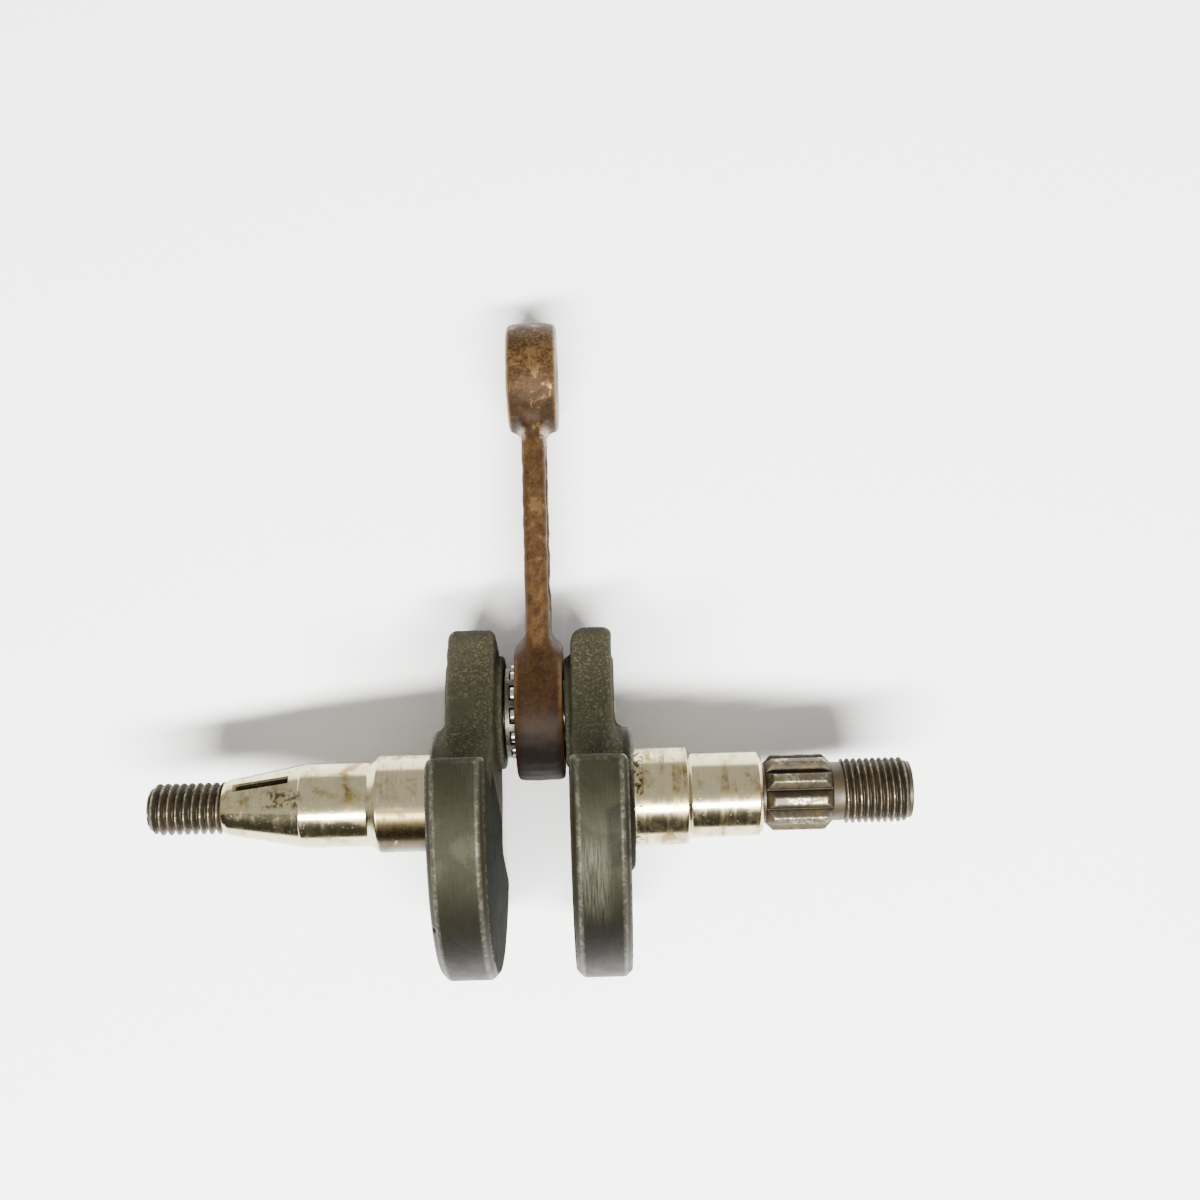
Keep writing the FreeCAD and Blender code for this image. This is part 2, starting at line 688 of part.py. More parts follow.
# ---------------------------------------------------------------- where the pieces lie

def resting_angle():
    """How far the throw points below the horizontal, in radians, on a flat table.

    The crank lies on two rounded corners of each web: one at the stem's tip and one at
    the counterweight's end. Both rounds have one radius, so the table is parallel to the
    line through their centres.
    """
    reach = value(WEB_RADIUS) - size("web_corner_round")
    tip_z = size("stem_tip_half_width") - size("web_corner_round")
    weight_y = size("flank_drop") + size("web_corner_round")
    tip_y = math.sqrt(reach ** 2 - tip_z ** 2)
    weight_z = math.sqrt(reach ** 2 - weight_y ** 2)
    return math.atan2(weight_z - tip_z, tip_y + weight_y)


def table_height():
    """The table's height, below the crank axis."""
    reach = value(WEB_RADIUS) - size("web_corner_round")
    weight_y = size("flank_drop") + size("web_corner_round")
    weight_z = math.sqrt(reach ** 2 - weight_y ** 2)
    angle = resting_angle()
    return (weight_y * math.sin(angle) - weight_z * math.cos(angle)
            - size("web_corner_round"))


throw_down = resting_angle()
mid_plane_x = -(value(WEB_INNER_FACE) + size("drive_hub_height")
                + size("drive_journal_length") / 2)
pin_y = size("throw_radius") * math.cos(throw_down)
pin_z = -size("throw_radius") * math.sin(throw_down)
rod_down = math.asin((pin_z - table_height() - value(SMALL_END_RADIUS))
                     / size("rod_length"))

crank_turn = Rotation(Vector(1, 0, 0), -math.degrees(throw_down))
rod_turn = Rotation(Vector(1, 0, 0), -math.degrees(rod_down))
pin_place = Vector(mid_plane_x, pin_y, pin_z)

pieces = []
for build in (build_flywheel_half, build_drive_half):
    half = build()
    half.Placement = Placement(Vector(mid_plane_x, 0, 0), crank_turn)
    pieces.append(half)

crankpin = build_crankpin()
crankpin.Placement = Placement(pin_place, crank_turn)
pieces.append(crankpin)

rod = build_connecting_rod()
rod.Placement = Placement(pin_place + Vector(value(ROD_OFFSET), 0, 0), rod_turn)
pieces.append(rod)

cage = build_cage()
cage.Placement = Placement(pin_place, crank_turn)
pieces.append(cage)

needle_count = int(size("needle_count"))
needle_circle = value(NEEDLE_CIRCLE)
for number in range(1, needle_count + 1):
    turn = Rotation(Vector(1, 0, 0), 360.0 * (number - 1) / needle_count) * crank_turn
    needle = build_needle(number)
    centre = pin_place + turn.multVec(Vector(0, needle_circle, 0))
    needle.Placement = Placement(centre, turn)
    pieces.append(needle)

doc.recompute()

for item in doc.Objects:
    if "Invalid" in item.State or "Error" in item.State:
        raise RuntimeError(f"{item.Name} failed: {item.State}")
for piece in pieces:
    if piece.Shape.isNull() or not piece.Shape.isValid() or len(piece.Shape.Solids) != 1:
        raise RuntimeError(f"{piece.Label} is not one valid solid")

os.makedirs("parts", exist_ok=True)
for piece in pieces:
    piece.Shape.exportStep(f"parts/{piece.Label}.step")
    print(f"{piece.Label}: {piece.Shape.Volume:.1f} mm3")
print(f"throw {math.degrees(throw_down):.2f} deg below horizontal,"
      f" table at {table_height():.3f} mm,"
      f" pin at ({pin_place.x:.3f}, {pin_y:.3f}, {pin_z:.3f}),"
      f" rod {math.degrees(rod_down):.2f} deg down")
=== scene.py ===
import json
import math

import bmesh
import bpy
import numpy as np
from mathutils import Matrix, Vector

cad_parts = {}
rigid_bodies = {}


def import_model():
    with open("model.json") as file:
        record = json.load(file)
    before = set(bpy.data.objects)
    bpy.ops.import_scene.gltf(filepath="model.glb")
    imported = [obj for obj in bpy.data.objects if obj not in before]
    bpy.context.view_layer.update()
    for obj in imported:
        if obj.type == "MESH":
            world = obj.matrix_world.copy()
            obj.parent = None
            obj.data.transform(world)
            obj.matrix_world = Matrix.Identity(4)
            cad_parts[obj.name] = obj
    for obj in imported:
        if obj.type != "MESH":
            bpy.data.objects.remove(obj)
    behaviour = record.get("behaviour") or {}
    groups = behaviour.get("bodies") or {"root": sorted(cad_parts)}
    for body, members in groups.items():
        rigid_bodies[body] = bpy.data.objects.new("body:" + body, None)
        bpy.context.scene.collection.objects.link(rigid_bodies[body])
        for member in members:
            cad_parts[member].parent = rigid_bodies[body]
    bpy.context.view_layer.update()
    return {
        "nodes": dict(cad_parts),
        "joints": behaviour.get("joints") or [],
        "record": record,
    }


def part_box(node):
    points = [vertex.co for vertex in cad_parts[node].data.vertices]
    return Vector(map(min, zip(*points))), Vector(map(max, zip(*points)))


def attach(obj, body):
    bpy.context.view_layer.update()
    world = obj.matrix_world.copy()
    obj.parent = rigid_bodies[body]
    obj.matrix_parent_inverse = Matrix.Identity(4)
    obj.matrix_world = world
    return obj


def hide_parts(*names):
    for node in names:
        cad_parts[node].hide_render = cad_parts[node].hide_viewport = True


bl_info = {
    "name": "Built-up crankshaft",
    "version": (1, 0, 0),
    "blender": (4, 5, 0),
    "location": "View3D > Sidebar > Crankshaft",
    "description": "Finished surfaces of a small engine's crankshaft with its connecting rod",
    "category": "Object",
}

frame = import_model()

MM = 0.001
CRANK = "crankshaft"
ROD = "connecting_rod"
CAGE = "needle_cage"


# ------------------------------------------------------------------ places, from the frame

def joint_place(name):
    """A hinge's point, in millimetres."""
    found = [j for j in frame["joints"] if j["name"] == name][0]
    return np.array(found["pos_m"]) / MM


def mount(name):
    return [m for m in frame["record"]["mounts"] if m["name"] == name][0]


def box_mm(node):
    low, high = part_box(node)
    return np.array(low) / MM, np.array(high) / MM


PIN = joint_place("rod_swing")
MID_X = float(PIN[0])
THROW = math.hypot(PIN[1], PIN[2])
THROW_DOWN = math.atan2(-PIN[2], PIN[1])
PIN_BOX = box_mm("crankpin")
FLYWHEEL_BOX = box_mm("crank_half_flywheel_side")
DRIVE_BOX = box_mm("crank_half_drive_side")
CAGE_BOX = box_mm("big_end_cage")
NEEDLE_BOX = box_mm("needle_01")
ROD_BOX = box_mm("connecting_rod")
SMALL_EYE = np.array(mount("small_end_bore")["pos_m"]) / MM
ROD_X = float(SMALL_EYE[0])
ROD_DOWN = math.atan2(PIN[2] - SMALL_EYE[2], SMALL_EYE[1] - PIN[1])
ROD_LENGTH = math.hypot(PIN[2] - SMALL_EYE[2], SMALL_EYE[1] - PIN[1])
WEB_RADIUS = float(DRIVE_BOX[1][2])
PIN_RADIUS = (PIN_BOX[1][1] - PIN_BOX[0][1]) / 2
NEEDLES = sorted(n for n in frame["nodes"] if n.startswith("needle_"))
TABLE_Z = float(min(FLYWHEEL_BOX[0][2], ROD_BOX[0][2]))


def span(name):
    """First and last x of a round mount, from the plane between the webs outwards."""
    m = mount(name)
    middle = abs(m["pos_m"][0] / MM - MID_X)
    half = m["dims"]["length_mm"] / 2
    return middle - half, middle + half, m["dims"]["r_mm"]


# ------------------------------------------------------------------ node expressions

class Term:
    """A node socket that can be used in Python sums; each operator adds a Math node."""

    def __init__(self, graph, socket):
        self.graph = graph
        self.socket = socket

    def __add__(self, other):
        return self.graph.math("ADD", self, other)

    def __sub__(self, other):
        return self.graph.math("SUBTRACT", self, other)

    def __mul__(self, other):
        return self.graph.math("MULTIPLY", self, other)

    def __truediv__(self, other):
        return self.graph.math("DIVIDE", self, other)

    def __rsub__(self, other):
        return self.graph.math("SUBTRACT", other, self)

    __radd__ = __add__
    __rmul__ = __mul__


class Graph:
    """Adds nodes to one shader or geometry tree."""

    def __init__(self, tree):
        self.tree = tree

    def node(self, kind, settings=None, inputs=None):
        made = self.tree.nodes.new(kind)
        for key, what in (settings or {}).items():
            setattr(made, key, what)
        for key, what in (inputs or {}).items():
            self.feed(made.inputs[key], what)
        return made

    def feed(self, socket, what):
        if isinstance(what, Term):
            what = what.socket
        if isinstance(what, bpy.types.NodeSocket):
            self.tree.links.new(what, socket)
        else:
            socket.default_value = what

    def out(self, made, key=0):
        return Term(self, made.outputs[key])

    def math(self, operation, a, b=0.0, clamp=False):
        made = self.node("ShaderNodeMath", {"operation": operation, "use_clamp": clamp},
                         {0: a, 1: b})
        return self.out(made)

    def low(self, a, b):
        return self.math("MINIMUM", a, b)

    def high(self, a, b):
        return self.math("MAXIMUM", a, b)

    def clamp(self, a):
        return self.math("ADD", a, 0.0, clamp=True)

    def step(self, a, start, end):
        """0 below start, 1 above end, smooth between; start may be above end."""
        made = self.node("ShaderNodeMapRange", {"interpolation_type": "SMOOTHSTEP"},
                         {"Value": a, "From Min": start, "From Max": end})
        return self.out(made, "Result")

    def xyz(self, vector):
        made = self.node("ShaderNodeSeparateXYZ", None, {0: vector})
        return self.out(made, 0), self.out(made, 1), self.out(made, 2)

    def vector(self, x, y, z):
        return self.out(self.node("ShaderNodeCombineXYZ", None, {0: x, 1: y, 2: z}))


class Finish(Graph):
    """One material: its object coordinates in millimetres and its output shader."""

    def __init__(self, name):
        self.material = bpy.data.materials.new(name)
        self.material.use_nodes = True
        super().__init__(self.material.node_tree)
        self.tree.nodes.clear()
        self.shader = self.node("ShaderNodeBsdfPrincipled")
        output = self.node("ShaderNodeOutputMaterial")
        self.tree.links.new(self.shader.outputs[0], output.inputs[0])
        coordinates = self.node("ShaderNodeTexCoord")
        scaled = self.node("ShaderNodeVectorMath", {"operation": "SCALE"},
                           {0: coordinates.outputs["Object"], "Scale": 1 / MM})
        self.place = Term(self, scaled.outputs[0])
        self.x, self.y, self.z = self.xyz(self.place)

    def radius(self):
        return self.math("SQRT", self.y * self.y + self.z * self.z)

    def noise(self, scale, detail=3.0, rough=0.55, vector=None, distortion=0.0):
        made = self.node("ShaderNodeTexNoise", None, {
            "Vector": vector or self.place, "Scale": scale, "Detail": detail,
            "Roughness": rough, "Distortion": distortion})
        return self.out(made, "Fac")

    def cells(self, scale, vector=None):
        made = self.node("ShaderNodeTexVoronoi", None,
                         {"Vector": vector or self.place, "Scale": scale})
        return self.out(made, "Distance")

    def mix(self, factor, a, b):
        made = self.node("ShaderNodeMix", {"data_type": "RGBA"},
                         {0: factor, 6: rgba(a), 7: rgba(b)})
        return Term(self, made.outputs[2])

    def darken(self, factor, colour, by):
        """Multiplies a colour by another where factor is 1."""
        made = self.node("ShaderNodeMix", {"data_type": "RGBA", "blend_type": "MULTIPLY"},
                         {0: factor, 6: rgba(colour), 7: rgba(by)})
        return Term(self, made.outputs[2])

    def between(self, what, low, high, soft=0.5):
        """1 where low < what < high, with soft ends."""
        return self.step(what, low - soft, low + soft) * self.step(what, high + soft, high - soft)

    def attribute(self, name):
        made = self.node("ShaderNodeAttribute", {"attribute_name": name})
        return self.out(made, "Fac")

    def set(self, name, what):
        self.feed(self.shader.inputs[name], what)

    def bump(self, height, distance_mm, strength=1.0, under=None):
        made = self.node("ShaderNodeBump", None, {
            "Height": height, "Distance": distance_mm * MM, "Strength": strength})
        if under is not None:
            self.tree.links.new(under, made.inputs["Normal"])
        return made.outputs[0]

    def set_normal(self, socket):
        self.tree.links.new(socket, self.shader.inputs["Normal"])


def rgba(colour):
    if isinstance(colour, (Term, bpy.types.NodeSocket)):
        return colour
    return (*colour, 1) if len(colour) == 3 else tuple(colour)


# ------------------------------------------------------------------ mesh helpers

def new_object(name, mesh, body, finish, node=None, smooth_angle=None):
    """Links a finished piece, attaches it to the body it rides on and hides the CAD node that it
    stands for.
    """
    piece = bpy.data.objects.new(name, mesh)
    bpy.context.scene.collection.objects.link(piece)
    mesh.materials.clear()
    mesh.materials.append(finish)
    if smooth_angle is None:
        mesh.shade_smooth()
    else:
        mesh.set_sharp_from_angle(angle=math.radians(smooth_angle))
    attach(piece, body)
    if node is not None:
        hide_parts(node)
    return piece


def mesh_from(name, points_mm, faces):
    mesh = bpy.data.meshes.new(name)
    mesh.from_pydata((np.asarray(points_mm) * MM).tolist(), [], faces)
    mesh.validate()
    return mesh


def outward(mesh, merge_mm=0.0005):
    """Merges doubles and turns every face outwards."""
    work = bmesh.new()
    work.from_mesh(mesh)
    bmesh.ops.remove_doubles(work, verts=work.verts, dist=merge_mm * MM)
    bmesh.ops.dissolve_degenerate(work, edges=work.edges, dist=merge_mm * MM * 0.1)
    bmesh.ops.recalc_face_normals(work, faces=work.faces)
    work.to_mesh(mesh)
    work.free()
    return mesh


def turned_mesh(name, profile, around=160):
    """A solid turned about X from (x, radius) points that start and end on the axis,
    or form a closed ring clear of it."""
    closed_ring = profile[0][1] > 0
    points, faces, rings = [], [], []
    for x, r in profile:
        if r <= 0:
            rings.append([len(points)] * around)
            points.append((x, 0, 0))
            continue
        first = len(points)
        for k in range(around):
            angle = 2 * math.pi * k / around
            points.append((x, r * math.cos(angle), r * math.sin(angle)))
        rings.append(list(range(first, first + around)))
    pairs = list(zip(rings, rings[1:]))
    if closed_ring:
        pairs.append((rings[-1], rings[0]))
    for a, b in pairs:
        for k in range(around):
            n = (k + 1) % around
            face = []
            for v in (a[k], b[k], b[n], a[n]):
                if v not in face:
                    face.append(v)
            if len(face) > 2:
                faces.append(face)
    return outward(mesh_from(name, points, faces))


def place_design(mesh, x_shift, angle_down, centre=(0.0, 0.0), flip=False):
    """Moves a mesh from its design frame (mm in, still metres) to the row frame."""
    turn = Matrix.Rotation(-angle_down, 4, "X")
    move = Matrix.Translation(Vector((x_shift, centre[0], centre[1])) * MM)
    mesh.transform(move @ turn @ (Matrix.Scale(-1, 4, (1, 0, 0)) if flip else Matrix()))
    if flip:
        mesh.flip_normals()
    return mesh


def finished(thing):
    """The plain mesh that an object's modifiers give; the object is removed."""
    depsgraph = bpy.context.evaluated_depsgraph_get()
    mesh = bpy.data.meshes.new_from_object(thing.evaluated_get(depsgraph))
    bpy.data.objects.remove(thing)
    return mesh


def cut_with(mesh, cutter_mesh, name):
    """mesh without what is inside cutter_mesh."""
    body = bpy.data.objects.new(name, mesh)
    tool = bpy.data.objects.new(name + "_cutter", cutter_mesh)
    for o in (body, tool):
        bpy.context.scene.collection.objects.link(o)
    modifier = body.modifiers.new("cut", "BOOLEAN")
    modifier.operation = "DIFFERENCE"
    modifier.solver = "EXACT"
    modifier.object = tool
    result = finished(body)
    bpy.data.objects.remove(tool)
    return result


# ------------------------------------------------------------------ forged solids as distances

def meet(a, b, edge):
    """Distance to what is inside both a and b, with the edge between them rounded."""
    a, b = a + edge, b + edge
    return np.minimum(np.maximum(a, b), 0) + np.hypot(np.maximum(a, 0), np.maximum(b, 0)) - edge


def join(a, b, fillet):
    """Distance to a and b together, with a fillet in the corner between them."""
    h = np.maximum(fillet - np.abs(a - b), 0) / fillet
    return np.minimum(a, b) - h * h * fillet / 4


def waves(x, y, z, seed, shortest, longest, count=14):
    """Smooth seeded unevenness between about -1 and 1."""
    random = np.random.default_rng(seed)
    total = 0
    for _ in range(count):
        direction = random.normal(size=3)
        direction *= 2 * math.pi / (random.uniform(shortest, longest) * np.linalg.norm(direction))
        phase = random.uniform(0, 2 * math.pi)
        total = total + np.sin(x * direction[0] + y * direction[1] + z * direction[2] + phase)
    return total / math.sqrt(count) * 0.7


def surface(name, distance, low, high, step):
    """A closed quad mesh of the surface where distance(x, y, z) is zero."""
    axes = [np.arange(a, b + step, step) for a, b in zip(low, high)]
    grid = np.meshgrid(*axes, indexing="ij")
    field = distance(*grid)
    inside = field < 0
    shape = np.array(field.shape) - 1
    total = np.zeros((*shape, 3))
    count = np.zeros(shape)

    def corner(values, offset):
        return values[tuple(slice(o, o + n) for o, n in zip(offset, shape))]

    for axis in range(3):
        others = [a for a in range(3) if a != axis]
        for i in (0, 1):
            for j in (0, 1):
                start = [0, 0, 0]
                start[others[0]], start[others[1]] = i, j
                end = list(start)
                end[axis] = 1
                a, b = corner(field, start), corner(field, end)
                crossed = (a < 0) != (b < 0)
                share = np.where(crossed, a / np.where(crossed, a - b, 1), 0)
                for k in range(3):
                    total[..., k] += crossed * (start[k] + (share if k == axis else 0))
                count += crossed
    used = count > 0
    number = -np.ones(shape, int)
    number[used] = np.arange(used.sum())
    cells = np.argwhere(used)
    points = np.array(low) + (cells + total[used] / count[used][:, None]) * step
    faces = []
    for axis in range(3):
        others = [a for a in range(3) if a != axis]
        here = [slice(1, -1)] * 3
        here[axis] = slice(0, -1)
        ahead = list(here)
        ahead[axis] = slice(1, None)
        a, b = inside[tuple(here)], inside[tuple(ahead)]
        for first, flipped in ((a & ~b, False), (~a & b, True)):
            place = np.argwhere(first)
            for k in others:
                place[:, k] += 1
            ring = []
            for i, j in ((-1, -1), (0, -1), (0, 0), (-1, 0)):
                cell = place.copy()
                cell[:, others[0]] += i
                cell[:, others[1]] += j
                ring.append(number[tuple(cell.T)])
            quads = np.stack(ring, 1)
            if flipped != (axis == 1):
                quads = quads[:, ::-1]
            faces.append(quads)
    faces = np.concatenate(faces)
    points = settle(points, distance, step)
    return outward(mesh_from(name, points, faces.tolist()), 0.0)


def settle(points, distance, step, rounds=3):
    """Moves points onto the surface along the distance's slope."""
    small = step * 0.1
    for _ in range(rounds):
        value = distance(*points.T)
        slope = np.empty_like(points)
        for k in range(3):
            ahead = points.copy()
            ahead[:, k] += small
            slope[:, k] = (distance(*ahead.T) - value) / small
        size = np.maximum((slope ** 2).sum(1), 0.2)
        move = slope * (value / size)[:, None]
        far = np.linalg.norm(move, axis=1)
        move *= np.minimum(1, 0.4 * step / np.maximum(far, 1e-9))[:, None]
        points = points - move
    return points


def store(mesh, name, values):
    """A number for each point, for the finish to read."""
    attribute = mesh.attributes.new(name, "FLOAT", "POINT")
    attribute.data.foreach_set("value", np.asarray(values, np.float32))


def points_mm(mesh):
    co = np.empty(len(mesh.vertices) * 3)
    mesh.vertices.foreach_get("co", co)
    return co.reshape(-1, 3) / MM


# ------------------------------------------------------------------ sizes a user would change

def length(name, description, millimetres):
    return bpy.props.FloatProperty(
        name=name, description=description, default=millimetres * MM, min=0,
        subtype="DISTANCE", unit="LENGTH", precision=5)


def colour(name, description, default):
    return bpy.props.FloatVectorProperty(
        name=name, description=description, subtype="COLOR", size=3, default=default,
        min=0, max=1)


class CrankSizes(bpy.types.PropertyGroup):
    """Sizes of the finished pieces."""

    corner_round: length("Web corner round", "Rounding of the web's four outer corners", 1.2)
    flank_drop: length("Flank drop", "Counterweight's flank, beyond the crank axis", 3.8)
    tip_half_width: length("Stem tip half width", "Half the stem's width at its tip", 9.9)
    root_half_width: length("Stem root half width", "Half the stem's width at the hub", 11.0)
    inner_face: length("Web inner face", "From the plane midway between the webs", 5.9)
    weight_thickness: length("Counterweight thickness", "Between its two side faces", 8.3)
    rim_chamfer: length("Rim chamfer", "On both edges of the rim", 1.0)
    hub_radius: length("Hub radius", "Raised round hub on each web's outer face", 10.9)
    boss_radius: length("Thrust boss radius", "Raised face round the crankpin", 9.0)
    boss_height: length("Thrust boss height", "Above the web's inner face", 1.1)
    web_step: length("Web surface step", "Mesh size of the webs", 0.3)
    rod_step: length("Rod surface step", "Mesh size of the connecting rod", 0.27)
    forge_waves: length("Forging unevenness", "Height of the forged skin's waves", 0.08)
    shank_thickness: length("Shank thickness", "Along the crankpin", 4.0)
    shank_big_half_width: length("Shank half width, big end", "Across the rod", 7.0)
    shank_small_half_width: length("Shank half width, small end", "Across the rod", 5.5)
    shank_pocket: length("Shank pocket depth", "In each flank", 0.8)
    flywheel_pitch: length("Flywheel thread pitch", "Left-hand thread", 1.25)
    drive_pitch: length("Drive thread pitch", "Right-hand thread", 1.0)
    key_cutter: length("Key cutter radius", "Round bottom of the key slot", 5.0)
    key_width: length("Key slot width", "Of the half-moon key's slot", 1.5)
    key_depth: length("Key slot depth", "Below the taper's surface", 2.8)
    camera_height: length("Camera height", "Above the crank axis", 232)
    spline_count: bpy.props.IntProperty(
        name="Splines", description="Teeth round the drive end", default=10, min=4, max=40)


class CrankColours(bpy.types.PropertyGroup):
    """Base colours of the finishes."""

    forged: colour("Forged skin", "Dark scale on the webs", (0.027, 0.0252, 0.0145))
    forged_light: colour("Forged grain", "Lighter grains of the skin", (0.10, 0.095, 0.066))
    turned: colour("Turned web", "Oiled turned rims and faces", (0.0095, 0.0092, 0.0050))
    ground: colour("Ground shaft", "Journals, seats and taper", (0.47, 0.42, 0.24))
    stain: colour("Stain", "Brown oil stains on the shafts", (0.17, 0.11, 0.03))
    thread: colour("Thread", "Oiled thread flanks", (0.022, 0.0175, 0.010))
    copper: colour("Rod", "Worn copper flash on the rod", (0.0185, 0.0085, 0.0017))
    # Painted shade: the rod's darker copper towards the big end.
    copper_dark: colour("Rod shade", "Oiled copper near the big end", (0.016, 0.007, 0.0024))
    pin: colour("Crankpin", "Ground ends of the crankpin", (0.27, 0.255, 0.21))
    roller: colour("Roller", "Polished needles", (0.42, 0.41, 0.36))
    cage: colour("Cage", "Oiled cage", (0.055, 0.052, 0.042))
    floor: colour("Floor", "Pale floor", (0.88, 0.88, 0.89))


def sizes():
    """The lengths that the user sees, in millimetres."""
    group = bpy.context.scene.crank_sizes
    values = {}
    for key in CrankSizes.__annotations__:
        number = getattr(group, key)
        values[key] = number if key == "spline_count" else number / MM
    return values


def colours():
    return bpy.context.scene.crank_colours


# ------------------------------------------------------------------ finishes

# First and last X of the parts of the surface that carry a mark of their own, in mm.
DRIVE_RIM_INNER = (-12.0, -8.2)
DRIVE_RIM_OUTER = (-8.3, -3.0)
FLYWHEEL_SEAT = (-49.0, -43.6)
FLYWHEEL_JOURNAL = (-43.1, -34.0)
TAPER_MIDDLE = (-60.5, -54.5)
DRIVE_HUB_CORNER = (-4.6, -2.6)
DRIVE_SHAFT = (-4.0, 12.0)


def web_finish():
    """Forged skin with turned rims and faces: dark, oiled, lighter on worn edges, with painted
    shade in creases, on the counterweight's side faces and towards -Y, and a partly painted
    highlight on the drive rim.
    """
    c = colours()
    f = Finish("web_steel")
    turned = f.attribute("turned")
    edge = f.attribute("edge")
    cavity = f.attribute("cavity")
    patches = f.noise(0.16, 4)
    grain = f.noise(2.6, 5, 0.7)
    pits = f.step(f.cells(1.9), 0.16, 0.05) * f.step(f.noise(0.5), 0.45, 0.62)
    skin = f.mix(f.step(grain, 0.46, 0.76) * f.step(patches, 0.25, 0.6), c.forged, c.forged_light)
    skin = f.darken(f.step(patches, 0.35, 0.7) * 0.5, skin, (0.55, 0.52, 0.42))
    lines = f.noise(1.0, 4, 0.6, f.vector(f.x * 7, f.y * 0.25, f.z * 0.25))
    smooth = f.mix(f.step(lines, 0.3, 0.75), c.turned, (0.0145, 0.014, 0.0088))
    broad_rings = f.noise(1.0, 4, 0.6, f.vector(f.radius() * 2.6, 0.0, 0.0))
    smooth = f.mix(f.step(broad_rings, 0.4, 0.7) * 0.6, smooth, (0.026, 0.0245, 0.016))
    oily = f.step(f.noise(0.11, 3, 0.6, None, 0.4), 0.47, 0.56)
    smooth = f.darken(oily * 0.5, smooth, (0.66, 0.64, 0.56))
    colour_now = f.mix(turned, skin, smooth)
    # Painted shade: the web darkens towards -Y, over the counterweight's lower rim.
    painted_low_shade = f.step(f.y, -6.0, -20.0)
    colour_now = f.darken(painted_low_shade, colour_now, (0.20, 0.185, 0.155))
    oil_patch = (f.between(f.x, *DRIVE_RIM_OUTER, 0.4)
                 * f.between(f.y - f.x * 0.5, -2.5, 6.0, 0.5) * turned)
    colour_now = f.darken(oil_patch * 0.8, colour_now, (0.42, 0.42, 0.40))
    # Lighter streaks on the drive rim's inner part: wear, with a painted highlight where the
    # lamp's reflection falls.
    wear_and_highlight = f.between(f.x, *DRIVE_RIM_INNER, 1.2) * f.between(f.y, -13.0, -3.0, 2.5) * turned
    colour_now = f.mix(wear_and_highlight * f.step(lines, 0.38, 0.6) * 0.4, colour_now, (0.07, 0.068, 0.052))
    chips = f.step(f.noise(1.1, 4, 0.65, None, 0.6), 0.46, 0.60) * 0.45 + 0.22
    chips = chips * (0.2 + turned * 0.8)
    colour_now = f.mix(f.clamp(edge * chips) * 0.8, colour_now, (0.17, 0.163, 0.13))
    # Painted shade in the creases and on the counterweight's side faces, which are stored as
    # cavity.
    colour_now = f.darken(f.clamp(cavity), colour_now, (0.24, 0.215, 0.165))
    colour_now = f.darken(pits * 0.8, colour_now, (0.25, 0.21, 0.16))
    f.set("Base Color", colour_now)
    f.shader.inputs["Specular IOR Level"].default_value = 0.06
    f.set("Metallic", (0.2 + turned * 0.15 + edge * chips * 0.3) * (1 - f.clamp(cavity)))
    f.set("Roughness", f.clamp(0.60 - turned * 0.2 + grain * 0.14 - edge * 0.12 + oily * 0.05
                               + cavity * 0.4))
    rough = f.bump(grain * (1.0 - turned * 0.82) + f.noise(0.9, 3) * 0.5 * (1 - turned),
                   0.22, 0.8)
    fine_rings = f.noise(1.0, 4, 0.6, f.vector(f.radius() * 3.2, 0.0, 0.0))
    side_faces = f.step(turned, 0.3, 0.5) * f.step(turned, 0.8, 0.6)
    rough = f.bump(fine_rings * side_faces, 0.05, 0.6, rough)
    rough = f.bump(lines * turned, 0.02, 0.5, rough)
    f.set_normal(f.bump(1 - pits, 0.12, 0.5, rough))
    return f.material


